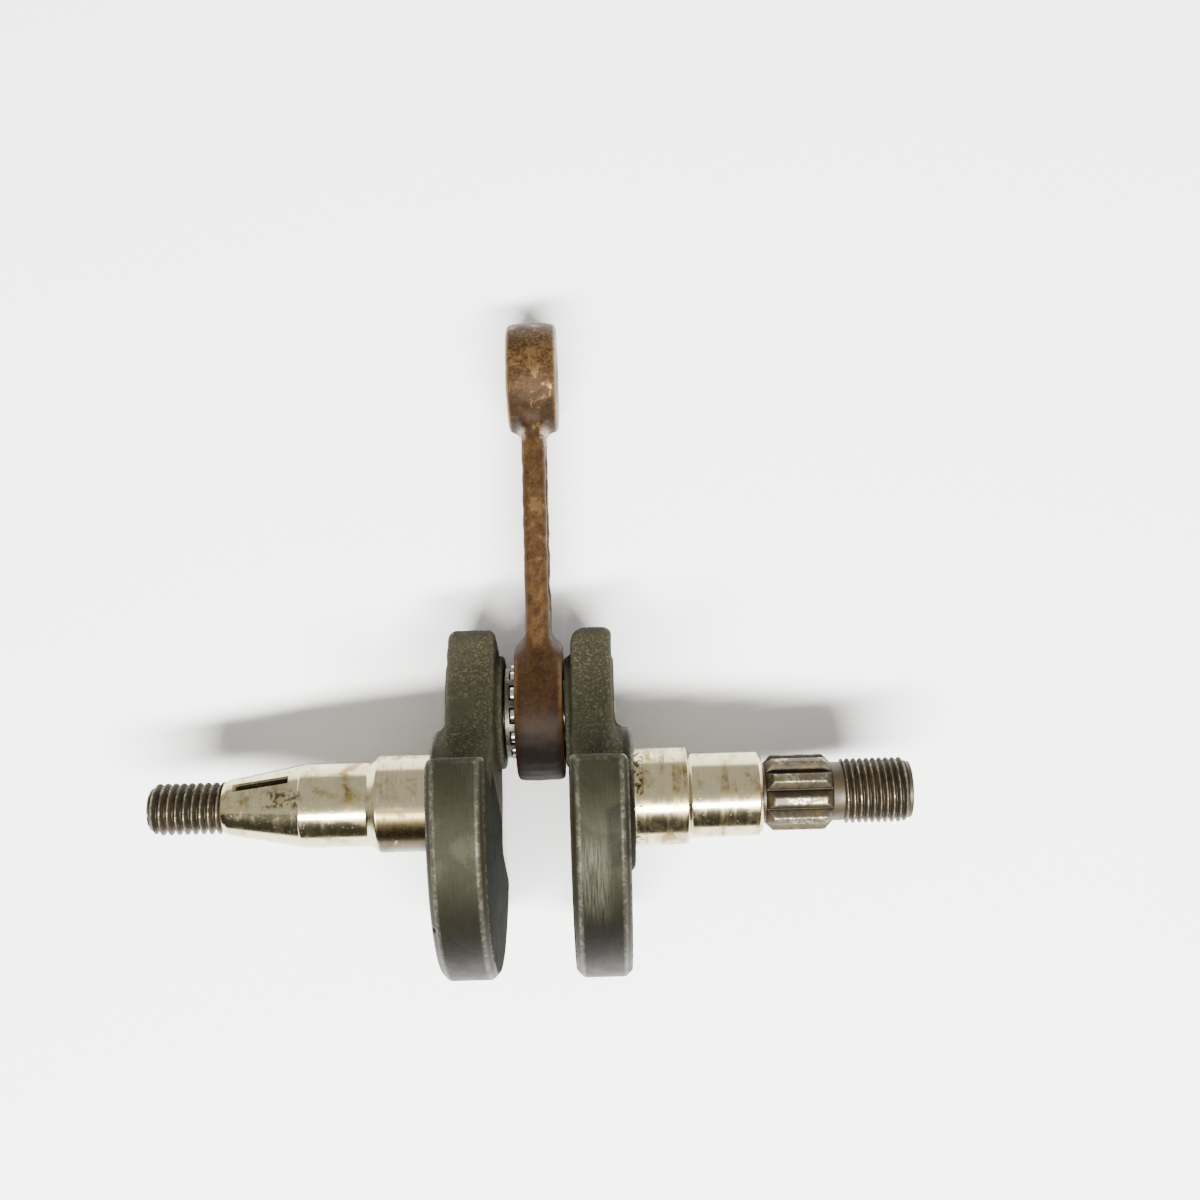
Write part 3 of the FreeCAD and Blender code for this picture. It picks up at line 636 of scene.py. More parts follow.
def shaft_finish():
    """Ground steel with fine marks round it, brown stains and a few scuffs."""
    c = colours()
    f = Finish("ground_steel")
    marks = f.noise(1.0, 5, 0.65, f.vector(f.x * 9, f.y * 0.12, f.z * 0.12))
    bands = f.noise(1.0, 3, 0.5, f.vector(f.x * 0.9, f.y * 0.10, f.z * 0.10))
    blotch = f.noise(0.32, 5, 0.62, None, 0.3)
    stain = f.clamp(f.step(blotch, 0.48, 0.66) * 0.6
                    + f.step(bands, 0.52, 0.68) * f.step(f.noise(0.8, 4), 0.4, 0.6) * 0.5)
    specks = f.step(f.noise(2.4, 4, 0.7), 0.63, 0.72)
    shade = f.mix(f.step(marks, 0.25, 0.8), c.ground, (0.55, 0.50, 0.33))
    flywheel_stain = (f.between(f.x, *FLYWHEEL_SEAT, 1.2) * f.step(f.y, -2.0, 2.0)
                      * f.step(blotch, 0.35, 0.6))
    drive_stain = f.between(f.x, *DRIVE_SHAFT, 1.5) * f.step(bands, 0.46, 0.60)
    stain = f.clamp(stain + flywheel_stain * 0.6 + drive_stain * 0.4)
    shade = f.mix(stain * 0.9, shade, c.stain)
    rust = (f.between(f.x, *FLYWHEEL_JOURNAL, 0.3) * f.step(f.y, 1.0, -0.4)
            * f.step(f.noise(0.7, 5, 0.7, None, 0.4), 0.22, 0.38))
    hub_rust = f.between(f.x, *DRIVE_HUB_CORNER, 0.5) * f.step(f.noise(1.3, 4), 0.5, 0.62)
    rust = f.clamp(rust + hub_rust)
    scuff = (f.between(f.x, *TAPER_MIDDLE, 1.0) * f.between(f.y, 0.2, 3.0, 0.8)
             * f.step(f.noise(0.8, 5, 0.7, None, 0.5), 0.47, 0.56))
    rust = f.clamp(rust * 0.95 + scuff * 0.85)
    shade = f.darken(rust, shade, (0.075, 0.058, 0.036))
    shade = f.darken(specks * 0.6, shade, (0.30, 0.24, 0.17))
    # Painted shade at the shoulders, in the necks and in the key slot, stored as cavity.
    painted_recess_shade = f.attribute("cavity")
    shade = f.darken(f.clamp(painted_recess_shade), shade, (0.05, 0.038, 0.024))
    f.set("Base Color", shade)
    f.set("Metallic", f.clamp(1 - specks * 0.4 - painted_recess_shade * 0.6))
    f.set("Roughness", f.clamp(0.10 + marks * 0.09 + stain * 0.16 + specks * 0.25
                             + rust * 0.12 + painted_recess_shade * 0.3))
    f.set_normal(f.bump(marks, 0.006, 0.6))
    return f.material


def thread_finish(name):
    """Dark oiled flanks with bright worn crests, and painted shade in the roots."""
    c = colours()
    f = Finish(name)
    crest = f.attribute("crest")
    grain = f.noise(1.6, 4, 0.65)
    blotch = f.noise(0.35, 4)
    shade = f.mix(f.step(grain, 0.35, 0.7), c.thread, (0.044, 0.036, 0.021))
    shade = f.mix(f.step(blotch, 0.45, 0.65) * 0.5, shade, (0.075, 0.052, 0.022))
    worn = f.step(f.noise(0.55, 4, 0.7, None, 0.5), 0.46, 0.60)
    wear_and_highlight = f.clamp(f.step(crest, 0.76, 0.99) * (0.12 + worn * f.step(grain, 0.40, 0.60)))
    shade = f.mix(wear_and_highlight, shade, (0.27, 0.24, 0.165))
    # Painted shade in the roots, between the crests.
    shade = f.darken(f.step(crest, 0.35, 0.0), shade, (0.30, 0.25, 0.19))
    f.set("Base Color", shade)
    f.set("Metallic", 0.7 + wear_and_highlight * 0.3)
    f.set("Roughness", f.clamp(0.46 - wear_and_highlight * 0.18 + grain * 0.12))
    f.set_normal(f.bump(grain, 0.03, 0.6))
    return f.material


def rod_finish():
    """Copper flash over a forging: mottled, bright where worn, with a painted highlight below the
    small eye and painted shade on the small eye's lower side and towards and on the big end.
    """
    c = colours()
    f = Finish("rod_copper")
    edge = f.attribute("edge")
    cavity = f.attribute("cavity")
    bored = f.attribute("turned")
    along = (f.y - float(PIN[1])) * (1 / ROD_LENGTH)
    grain = f.noise(2.2, 5, 0.72)
    mottle = f.noise(0.42, 5, 0.65, None, 0.5)
    worn = f.clamp(f.step(mottle, 0.54, 0.68) * f.step(along, 0.25, 0.75)
                   + f.step(along, 0.92, 1.08) * f.step(grain, 0.45, 0.6) * 0.5)
    shade = f.mix(f.step(grain, 0.3, 0.72), c.copper, (0.045, 0.0215, 0.0052))
    # Painted shade: darker copper towards the big end, which sits between the webs.
    shade = f.mix(f.step(along, 0.26, -0.05) * 0.8, shade, c.copper_dark)
    # Painted shade: a darker band on the small eye's side that faces -Y.
    small_eye_painted_shade = f.step(along, 0.97, 0.90) * f.step(along, 0.78, 0.84)
    shade = f.darken(small_eye_painted_shade * 0.8, shade, (0.5, 0.45, 0.4))
    shade = f.mix(worn * 0.5, shade, (0.17, 0.105, 0.048))
    shade = f.mix(f.clamp(edge * 0.9) * 0.5, shade, (0.20, 0.105, 0.035))
    # Painted shade: the big eye's lower half, below the crankpin, is darkened.
    shade = f.darken(f.step(along, 0.04, -0.10), shade, (0.22, 0.20, 0.18))
    shade = f.darken(f.step(mottle, 0.52, 0.38) * 0.75, shade, (0.55, 0.48, 0.40))
    # Painted shade in the rod's hollows.
    shade = f.darken(f.clamp(cavity), shade, (0.35, 0.27, 0.18))
    # Painted highlight: two light spots on the fillet below the small eye.
    beside = f.math("ABSOLUTE", f.x - ROD_X)
    wear_and_highlight = (f.between(along, 0.805, 0.835, 0.012) * f.between(beside, 1.4, 2.6, 0.6)
              * f.step(grain, 0.40, 0.52))
    shade = f.mix(wear_and_highlight * 0.8, shade, (0.42, 0.34, 0.25))
    specks = f.step(f.noise(3.2, 4, 0.75), 0.60, 0.70)
    shade = f.darken(specks * 0.7, shade, (0.35, 0.25, 0.16))
    shade = f.mix(bored, shade, (0.20, 0.175, 0.135))
    f.set("Base Color", shade)
    f.shader.inputs["Specular IOR Level"].default_value = 0.15
    f.set("Metallic", 0.35 + worn * 0.3 + bored * 0.45)
    f.set("Roughness", f.clamp(0.50 + grain * 0.14 - worn * 0.16 - bored * 0.26))
    rough = f.bump(grain, 0.07, 0.6)
    f.set_normal(f.bump(mottle, 0.12, 0.35, rough))
    return f.material


def plain_steel_finish(name, base, light, roughness, bump_mm):
    """Small bearing pieces: one steel with faint marks and oil."""
    f = Finish(name)
    grain = f.noise(3.0, 4, 0.6)
    film = f.noise(0.6, 4, 0.6)
    shade = f.mix(f.step(grain, 0.35, 0.7), base, light)
    shade = f.darken(f.step(film, 0.5, 0.68) * 0.5, shade, (0.55, 0.46, 0.32))
    f.set("Base Color", shade)
    f.shader.inputs["Metallic"].default_value = 1.0
    f.set("Roughness", roughness + film * 0.16)
    f.set_normal(f.bump(grain, bump_mm, 0.5))
    return f.material


def floor_finish():
    f = Finish("pale_floor")
    f.set("Base Color", f.mix(f.noise(0.02, 2), colours().floor, (0.90, 0.90, 0.90)))
    f.shader.inputs["Roughness"].default_value = 0.75
    return f.material


# ------------------------------------------------------------------ webs

MEET_PER_ROUND = 1.5       # a meet this many radii wide cuts as deep as a true round
STEM_OVERLAP = 2.0         # how far the stem runs on past the counterweight's flank, mm
NICKS = 11                 # small dents on each rim's edges
NICK_SPREAD = 1.5          # either side of the rim's middle, radians
NICK_DEPTH = 0.25
SIDE_FACE_BAND = 0.1       # points this near a face's plane belong to the face, mm
STEM_FILLET = 4.5          # between the stem and the counterweight's flank, mm
INNER_EDGE = 0.7           # rounds of the web's edges, mm
FLANK_EDGE = 0.9
OUTER_EDGE = 1.5
PAD_RADIUS = 8.6           # flat round the crankpin's end, above the stem's outer skin
PAD_HEIGHT = 0.3
PAD_SLOPE = 0.5
HUB_EDGE = 0.6
HUB_FILLET = 1.6
BOSS_EDGE = 0.35
BOSS_FILLET = 0.7
SKIN_FADE = 2.0            # over which the forged waves die out beside a machined face
WEB_WAVES = (2.0, 7.0)     # shortest and longest wave of the forged skin, mm
WORN_CORNER = 3.6          # how far down the tip the worn corner's slope starts, mm


def web_distance(s, stem_out, hub_face, seed, worn_corner):
    """Distance to one web; a is measured outwards from the plane between the webs."""
    inner = s["inner_face"]
    weight_out = inner + s["weight_thickness"]
    boss_face = inner - s["boss_height"]
    drop = s["flank_drop"]
    stem_start = drop + STEM_OVERLAP
    corner = s["corner_round"] * MEET_PER_ROUND
    random = np.random.default_rng(seed)
    nicks = []
    for _ in range(NICKS):
        angle = math.pi + random.uniform(-NICK_SPREAD, NICK_SPREAD)
        face = inner if random.random() < 0.5 else weight_out
        outwards = -1 if face == inner else 1
        reach = random.uniform(0.10, 0.32)
        nicks.append((face + outwards * reach, (WEB_RADIUS - NICK_DEPTH) * math.cos(angle),
                      (WEB_RADIUS - NICK_DEPTH) * math.sin(angle), random.uniform(0.5, 0.95)))

    def distance(a, y, z):
        from_axis = np.hypot(y, z)
        from_pin = np.hypot(y - THROW, z)
        rim = from_axis - WEB_RADIUS
        share = np.clip((y + stem_start) / (WEB_RADIUS + stem_start), 0, 1)
        half_width = s["root_half_width"] + (s["tip_half_width"] - s["root_half_width"]) * share
        stem = meet(rim, np.abs(z) - half_width, corner)
        stem = np.maximum(stem, -(y + stem_start))
        weight = meet(rim, y + drop, corner)
        outline = np.maximum(join(stem, weight, STEM_FILLET), rim)
        pad = np.clip((PAD_RADIUS - from_pin) / PAD_SLOPE, 0, 1)
        outer_face = a - (stem_out - PAD_HEIGHT + PAD_HEIGHT * pad * pad * (3 - 2 * pad))
        blank = np.maximum(meet(outline, inner - a, INNER_EDGE),
                           meet(outline, outer_face, OUTER_EDGE))
        weight = np.maximum.reduce([
            weight, meet(y + drop, inner - a, FLANK_EDGE),
            meet(y + drop, a - weight_out, OUTER_EDGE), inner - a, a - weight_out])
        body = np.maximum(join(blank, weight, 0.4), rim)
        for face in (inner - a, a - weight_out):
            body = meet(body, (rim + face + s["rim_chamfer"]) * math.sqrt(0.5), 0.15)
        hub = meet(from_axis - s["hub_radius"], a - hub_face, HUB_EDGE)
        body = join(body, np.maximum(hub, inner + 1 - a), HUB_FILLET)
        boss = meet(from_pin - s["boss_radius"], boss_face - a, BOSS_EDGE)
        body = join(body, np.maximum(boss, a - inner - 1), BOSS_FILLET)
        above_flank = np.clip((y + drop) / SKIN_FADE, 0, 1)
        skin = above_flank * np.clip((from_pin - s["boss_radius"]) / SKIN_FADE, 0, 1)
        skin = np.where(a > inner + 1, above_flank, skin)
        skin = skin * np.clip((from_axis - s["hub_radius"]) / SKIN_FADE, 0, 1)
        body = body + s["forge_waves"] * skin * (1 - waves(a, y, z, seed, *WEB_WAVES))
        body = np.maximum(body, PIN_RADIUS + 0.02 - from_pin)
        if worn_corner:
            slope = (2 * (y - WEB_RADIUS + WORN_CORNER) - 3 * (a - inner)) / math.hypot(2, 3)
            body = meet(body, slope, 0.8)
        for place_a, place_y, place_z, size in nicks:
            away = np.sqrt((a - place_a) ** 2 + (y - place_y) ** 2 + (z - place_z) ** 2)
            body = np.maximum(body, size - away)
        return body

    return distance


def store_shape_values(mesh, distance, points, reach, dull=0.0):
    """Stores where the surface is an outside edge, and where it is a hollow or dull; the finishes
    darken the hollow and dull parts as painted shade.
    """
    bend = -6 * distance(*points.T)
    for k in range(3):
        for sign in (-1, 1):
            moved = points.copy()
            moved[:, k] += sign * reach
            bend = bend + distance(*moved.T)
    bend = bend / reach
    store(mesh, "edge", np.clip(bend * 0.9 - 0.25, 0, 1))
    store(mesh, "cavity", np.maximum(np.clip(-bend * 0.9 - 0.15, 0, 1), dull))


def build_web(name, side, stem_out, hub_face, seed):
    s = sizes()
    distance = web_distance(s, stem_out, hub_face, seed, worn_corner=side > 0)
    reach = WEB_RADIUS + 1.2
    low = (s["inner_face"] - s["boss_height"] - 0.9, -reach, -reach)
    high = (hub_face + 0.9, reach, reach)
    mesh = surface(name, distance, low, high, s["web_step"])
    points = points_mm(mesh)
    a, y, z = points.T
    from_axis = np.hypot(y, z)
    weight_out = s["inner_face"] + s["weight_thickness"]
    on_sides = (a < s["inner_face"] + SIDE_FACE_BAND) | (a > weight_out - SIDE_FACE_BAND)
    # The counterweight's side faces count as dull, for painted shade.
    store_shape_values(mesh, distance, points, 0.55, ((y < 0) & on_sides) * 0.85)
    rim = np.clip((from_axis - WEB_RADIUS + 0.35) / 0.15, 0, 1) * (y < -s["flank_drop"] + 0.4)
    chamfer = ((from_axis > WEB_RADIUS - s["rim_chamfer"] - 0.1) & (y < -s["flank_drop"])
               & ((a < s["inner_face"] + 1.1) | (a > weight_out - 1.1)))
    faces = ((y < -s["flank_drop"] - 0.8) & on_sides) * 0.55
    hub = (a > stem_out + 0.8) & (from_axis < s["hub_radius"] + 0.3)
    boss = (a < s["inner_face"] - s["boss_height"] + 0.1) * 0.9
    store(mesh, "turned", np.maximum.reduce([rim, chamfer * 1.0, faces, hub * 0.9, boss]))
    place_design(mesh, MID_X, THROW_DOWN, flip=side < 0)
    return mesh


class CRANK_OT_webs(bpy.types.Operator):
    """Makes both forged webs, with their counterweights, hubs and thrust bosses"""

    bl_idname = "crank.webs"
    bl_label = "Webs"

    def execute(self, context):
        finish = web_finish()
        halves = (("flywheel", -1, MID_X - PIN_BOX[0][0], 11),
                  ("drive", 1, PIN_BOX[1][0] - MID_X, 23))
        for word, side, stem_out, seed in halves:
            hub_face = span(f"{word}_side_journal")[0]
            mesh = build_web(f"{word}_web", side, stem_out, hub_face, seed)
            new_object(f"{word}_web", mesh, CRANK, finish,
                       f"crank_half_{word}_side")
        return {"FINISHED"}


# ------------------------------------------------------------------ shafts

THREAD_DEPTH = 0.61        # of the pitch
SHAFT_START = 1.0          # how far a shaft's mesh reaches into its web's hub, mm
CENTRE_HOLE = ((1.6, 0.0), (0.8, 1.4), (0.8, 2.4), (0.0, 3.2))
THREAD_RADIUS = {"flywheel": 4.0, "drive": 5.0}
TAPER_RADII = (6.4, 4.25)
SPLINE_RADIUS = 5.8
SPLINE_ROOT = 4.65
NECK_RADIUS = 4.5
SEAT_CHAMFER = 0.6
SPLINE_GAP = 0.5           # from the drive seat's chamfer to the splines
KEY_ANGLE = math.radians(70)
KEY_FROM_TAPER_END = 5.0


def eased(profile, size=0.12, steps=3):
    """The profile with its corners cut by short curves."""
    result = [profile[0]]
    for before, here, after in zip(profile, profile[1:], profile[2:]):
        a, b, c = (np.array(p, float) for p in (before, here, after))
        into, out = b - a, c - b
        if b[1] <= 0 or abs(into[0] * out[1] - into[1] * out[0]) < 1e-9:
            result.append(here)
            continue
        cut_in = min(size, np.linalg.norm(into) * 0.4)
        cut_out = min(size, np.linalg.norm(out) * 0.4)
        start = b - into / np.linalg.norm(into) * cut_in
        end = b + out / np.linalg.norm(out) * cut_out
        for k in range(steps + 1):
            t = k / steps
            point = (1 - t) ** 2 * start + 2 * t * (1 - t) * b + t * t * end
            result.append(tuple(point))
    result.append(profile[-1])
    return result


def thread_root(pitch, major):
    return major - THREAD_DEPTH * pitch


def stations(word, side):
    """Places along one shaft, outwards from the plane between the webs."""
    journal, journal_end, journal_radius = span(f"{word}_side_journal")
    seat, seat_end, seat_radius = span(f"{word}_side_seat")
    end = abs((FLYWHEEL_BOX[0] if side < 0 else DRIVE_BOX[1])[0] - MID_X)
    thread_middle = side * (mount(f"{word}_thread")["pos_m"][0] / MM - MID_X)
    return {
        "journal": journal, "journal_end": journal_end, "journal_radius": journal_radius,
        "seat": seat, "seat_end": seat_end, "seat_radius": seat_radius,
        "thread": 2 * thread_middle - end, "end": end, "thread_radius": THREAD_RADIUS[word],
    }


def flywheel_stations():
    at = stations("flywheel", -1)
    taper_middle = MID_X - mount("flywheel_taper")["pos_m"][0] / MM
    at["taper_end"] = 2 * taper_middle - at["seat_end"]
    return at


def drive_stations():
    at = stations("drive", 1)
    spline_middle = mount("splined_end")["pos_m"][0] / MM - MID_X
    at["spline"] = at["seat_end"] + SEAT_CHAMFER + SPLINE_GAP
    at["spline_end"] = 2 * spline_middle - at["spline"]
    return at


def shaft_start(at):
    """Profile points of a shaft's journal and seat, which both shafts have."""
    return [
        (at["journal"] - SHAFT_START, 0), (at["journal"] - SHAFT_START, at["journal_radius"]),
        (at["journal_end"], at["journal_radius"]), (at["seat"], at["seat_radius"]),
        (at["seat_end"], at["seat_radius"]),
    ]


def shaft_end(end, core):
    """Profile points of a shaft's end face with its centre hole."""
    return [(end, core)] + [(end - depth, r) for r, depth in CENTRE_HOLE]


def dense(profile, longest=0.35):
    """The profile with long runs divided, so that values stored on points stay local."""
    result = [profile[0]]
    for a, b in zip(profile, profile[1:]):
        a, b = np.array(a, float), np.array(b, float)
        count = max(1, int(np.linalg.norm(b - a) / longest))
        for k in range(1, count + 1):
            result.append(tuple(a + (b - a) * k / count))
    return result


def near_corner(points, radius, x, r, reach=0.45):
    return np.clip(1 - np.hypot(points[:, 0] - x, radius - r) / reach, 0, 1)


def store_painted_shaft_shade(mesh, corners, taper=None, necks=None):
    """Painted shade: dark rings where a shaft meets a larger one, and shade in the necks and the
    key slot; corners are (x, radius).
    """
    points = points_mm(mesh)
    radius = np.hypot(points[:, 1], points[:, 2])
    painted_recess_shade = np.zeros(len(points))
    for x, r in corners:
        painted_recess_shade = np.maximum(painted_recess_shade, near_corner(points, radius, x, r))
    if necks is not None:
        start, end, largest = necks
        inside = (points[:, 0] > start) & (points[:, 0] < end) & (radius < largest)
        painted_recess_shade = np.maximum(painted_recess_shade, inside * 1.1)
    if taper is not None:
        start, end, radii = taper
        surface_radius = np.interp(points[:, 0], (end, start), (radii[1], radii[0]))
        inside = (points[:, 0] > end + 0.2) & (points[:, 0] < start - 0.2)
        painted_recess_shade = np.maximum(painted_recess_shade, inside * np.clip((surface_radius - radius) / 0.5 - 0.2, 0, 1.2))
    store(mesh, "cavity", np.clip(painted_recess_shade * 0.9, 0, 1))


class CRANK_OT_shafts(bpy.types.Operator):
    """Turns both shafts, with their journals, seats, taper, key slot and necks"""

    bl_idname = "crank.shafts"
    bl_label = "Shafts"

    def execute(self, context):
        s = sizes()
        finish = shaft_finish()
        self.make_flywheel_shaft(s, finish)
        self.make_drive_shaft(s, finish)
        return {"FINISHED"}

    def make_flywheel_shaft(self, s, finish):
        f = flywheel_stations()
        wide, narrow = TAPER_RADII
        core = thread_root(s["flywheel_pitch"], f["thread_radius"]) - 0.02
        profile = shaft_start(f) + [
            (f["seat_end"] + 0.1, wide), (f["taper_end"], narrow),
            (f["thread"] - 0.3, narrow - 0.3), (f["thread"], core),
        ] + shaft_end(f["end"], core)
        mesh = turned_mesh("flywheel_shaft", [(MID_X - a, r) for a, r in eased(dense(profile))])
        mesh = self.cut_key_slot(mesh, f, s)
        store_painted_shaft_shade(mesh, [(MID_X - f["journal"], f["journal_radius"]),
                                (MID_X - f["thread"], core + 0.3)],
                         taper=(MID_X - f["seat_end"], MID_X - f["taper_end"], TAPER_RADII))
        new_object("flywheel_shaft", mesh, CRANK, finish, smooth_angle=28)

    def make_drive_shaft(self, s, finish):
        d = drive_stations()
        core = thread_root(s["drive_pitch"], d["thread_radius"]) - 0.02
        profile = shaft_start(d) + [
            (d["seat_end"] + SEAT_CHAMFER, d["seat_radius"] - SEAT_CHAMFER),
            (d["seat_end"] + SEAT_CHAMFER + 0.02, NECK_RADIUS),
            (d["thread"] - 0.1, NECK_RADIUS), (d["thread"], core),
        ] + shaft_end(d["end"], core)
        mesh = turned_mesh("drive_shaft", [(MID_X + a, r) for a, r in eased(dense(profile))])
        store_painted_shaft_shade(mesh, [(MID_X + d["journal"], d["journal_radius"]),
                                (MID_X + d["seat_end"] + 0.7, NECK_RADIUS),
                                (MID_X + d["spline_end"], NECK_RADIUS),
                                (MID_X + d["thread"], core + 0.3)],
                         necks=(MID_X + d["seat_end"], MID_X + d["end"], NECK_RADIUS + 0.3))
        new_object("drive_shaft", mesh, CRANK, finish, smooth_angle=28)

    def cut_key_slot(self, mesh, f, s):
        """The half-moon key's slot, which stands at KEY_ANGLE from the throw."""
        wide, narrow = TAPER_RADII
        share = KEY_FROM_TAPER_END / (f["taper_end"] - f["seat_end"])
        surface_radius = narrow + (wide - narrow) * share
        wheel = bpy.data.meshes.new("key_cutter")
        work = bmesh.new()
        bmesh.ops.create_cone(work, cap_ends=True, segments=72, radius1=s["key_cutter"] * MM,
                              radius2=s["key_cutter"] * MM, depth=s["key_width"] * MM)
        work.to_mesh(wheel)
        work.free()
        lift = surface_radius + s["key_cutter"] - s["key_depth"]
        place = f["taper_end"] - KEY_FROM_TAPER_END
        wheel.transform(Matrix.Translation(Vector((-place, lift, 0)) * MM))
        wheel.transform(Matrix.Rotation(KEY_ANGLE, 4, "X"))
        place_design(wheel, MID_X, THROW_DOWN)
        return cut_with(mesh, wheel, "flywheel_shaft_blank")


# ------------------------------------------------------------------ threads and splines

class Ring(Graph):
    """A geometry tree for a closed ring about X whose outside follows a rule."""

    def __init__(self, name, lengths):
        self.group = bpy.data.node_groups.new(name, "GeometryNodeTree")
        super().__init__(self.group)
        face = self.group.interface
        face.new_socket("Geometry", in_out="INPUT", socket_type="NodeSocketGeometry")
        self.ids = {}
        for key in ("Start", "Length", "Inside radius", *lengths):
            made = face.new_socket(key, in_out="INPUT", socket_type="NodeSocketFloat")
            self.ids[key] = made.identifier
        for key in ("Rows", "Around"):
            made = face.new_socket(key, in_out="INPUT", socket_type="NodeSocketInt")
            self.ids[key] = made.identifier
        made = face.new_socket("Material", in_out="INPUT", socket_type="NodeSocketMaterial")
        self.ids["Material"] = made.identifier
        face.new_socket("Geometry", in_out="OUTPUT", socket_type="NodeSocketGeometry")
        self.source = self.node("NodeGroupInput")
        rows, around = self.given("Rows"), self.given("Around")
        self.grid = self.node("GeometryNodeMeshGrid", None, {
            "Size X": 1.0, "Size Y": 1.0, "Vertices X": rows, "Vertices Y": around + 1})
        spot = self.node("GeometryNodeInputPosition")
        across, turn, _ = self.xyz(spot.outputs[0])
        row = (across + 0.5) * (rows - 1)
        self.angle = (turn + 0.5) * (2 * math.pi)
        last = self.step(row, rows - 1.6, rows - 1.4)
        first = self.step(row, 0.6, 0.4)
        before_last = self.step(row, rows - 2.6, rows - 2.4)
        self.inside = self.clamp(first + before_last)
        self.along = self.clamp((row - 1) / (rows - 4)) * (1 - last) * self.given("Length")

    def given(self, key):
        return Term(self, self.source.outputs[key])

    def close(self, radius):
        """Ends the tree with the outside at that radius."""
        radius = radius + (self.given("Inside radius") - radius) * self.inside
        place = self.vector(self.given("Start") + self.along,
                            radius * self.math("COSINE", self.angle),
                            radius * self.math("SINE", self.angle))
        moved = self.node("GeometryNodeSetPosition", None, {
            "Geometry": self.grid.outputs["Mesh"], "Position": place})
        merged = self.node("GeometryNodeMergeByDistance", None, {
            "Geometry": moved.outputs[0], "Distance": 0.0004 * MM})
        real = self.node("GeometryNodeRealizeInstances", None, {0: merged.outputs[0]})
        painted = self.node("GeometryNodeSetMaterial", None, {
            "Geometry": real.outputs[0], "Material": self.given("Material")})
        output = self.node("NodeGroupOutput")
        self.tree.links.new(painted.outputs[0], output.inputs[0])
        return self

    def make(self, name, **values):
        """The plain mesh that the tree gives for these values."""
        holder = bpy.data.objects.new(name, bpy.data.meshes.new(name))
        bpy.context.scene.collection.objects.link(holder)
        modifier = holder.modifiers.new("ring", "NODES")
        modifier.node_group = self.group
        for key, what in values.items():
            modifier[self.ids[key.replace("_", " ")]] = what
        mesh = finished(holder)
        mesh.name = name
        return outward(mesh)


def thread_ring():
    """A screw thread: 60 degree flanks, cut off at crest and root and by an end chamfer."""
    g = Ring("thread_ring", ("Major radius", "Pitch", "Hand", "End chamfer"))
    pitch, major = g.given("Pitch"), g.given("Major radius")
    turns = g.along / pitch - g.angle * g.given("Hand") * (1 / (2 * math.pi))
    from_root = g.math("ABSOLUTE", g.math("FRACT", turns + 40.0) - 0.5)
    cut = g.high(0.4375 - from_root, 0.0) * 1.732
    radius = major - g.low(cut, THREAD_DEPTH) * pitch
    left = g.given("Length") - g.along
    chamfer = g.high(g.given("End chamfer") - left, 0.0)
    return g.close(g.high(g.low(radius, major - chamfer), g.given("Inside radius")))


def spline_ring():
    """Straight splines: V-sided grooves evenly round a barrel with chamfered ends."""
    g = Ring("spline_ring", ("Outer radius", "Root radius", "Teeth", "Half groove",
                             "Half root", "Chamfer", "Phase"))
    outer, root = g.given("Outer radius"), g.given("Root radius")
    part = g.angle * g.given("Teeth") * (1 / (2 * math.pi)) + g.given("Phase")
    from_groove = g.math("ABSOLUTE", g.math("FRACT", part + 40.0) - 0.5)
    turn = from_groove * (2 * math.pi) / g.given("Teeth")
    width = g.math("TANGENT", turn) * outer
    half_root = g.given("Half root")
    rise = g.clamp((width - half_root) / (g.given("Half groove") - half_root))
    radius = root + (outer - root) * rise
    ends = g.low(g.along, g.given("Length") - g.along)
    return g.close(g.low(radius, outer - g.high(g.given("Chamfer") - ends, 0.0)))


def store_crest(mesh, root, crest):
    points = points_mm(mesh)
    radius = np.hypot(points[:, 1], points[:, 2])
    store(mesh, "crest", np.clip((radius - root) / (crest - root), 0, 1))


class CRANK_OT_threads(bpy.types.Operator):
    """Cuts both shaft threads: left-hand on the flywheel side, right-hand on the drive side"""

    bl_idname = "crank.threads"
    bl_label = "Threads"

    def execute(self, context):
        s = sizes()
        ring = thread_ring()
        ends = (
            ("flywheel", -1, flywheel_stations(), s["flywheel_pitch"], 1.0),
            ("drive", 1, drive_stations(), s["drive_pitch"], 1.2),
        )
        for word, side, at, pitch, chamfer in ends:
            finish = thread_finish(f"{word}_thread_steel")
            major = at["thread_radius"]
            root = thread_root(pitch, major)
            long = at["end"] - at["thread"]
            mesh = ring.make(
                f"{word}_thread", Start=0.0, Length=long * MM,
                Inside_radius=(root - 0.3) * MM, Major_radius=major * MM, Pitch=pitch * MM,
                Hand=1.0, End_chamfer=chamfer * MM, Rows=int(long / pitch * 16) + 3,
                Around=96, Material=finish)
            store_crest(mesh, root, major)
            mesh.transform(Matrix.Translation(Vector((at["thread"], 0, 0)) * MM))
            place_design(mesh, MID_X, 0.0, flip=side < 0)
            new_object(f"{word}_thread", mesh, CRANK, finish, smooth_angle=35)
        return {"FINISHED"}


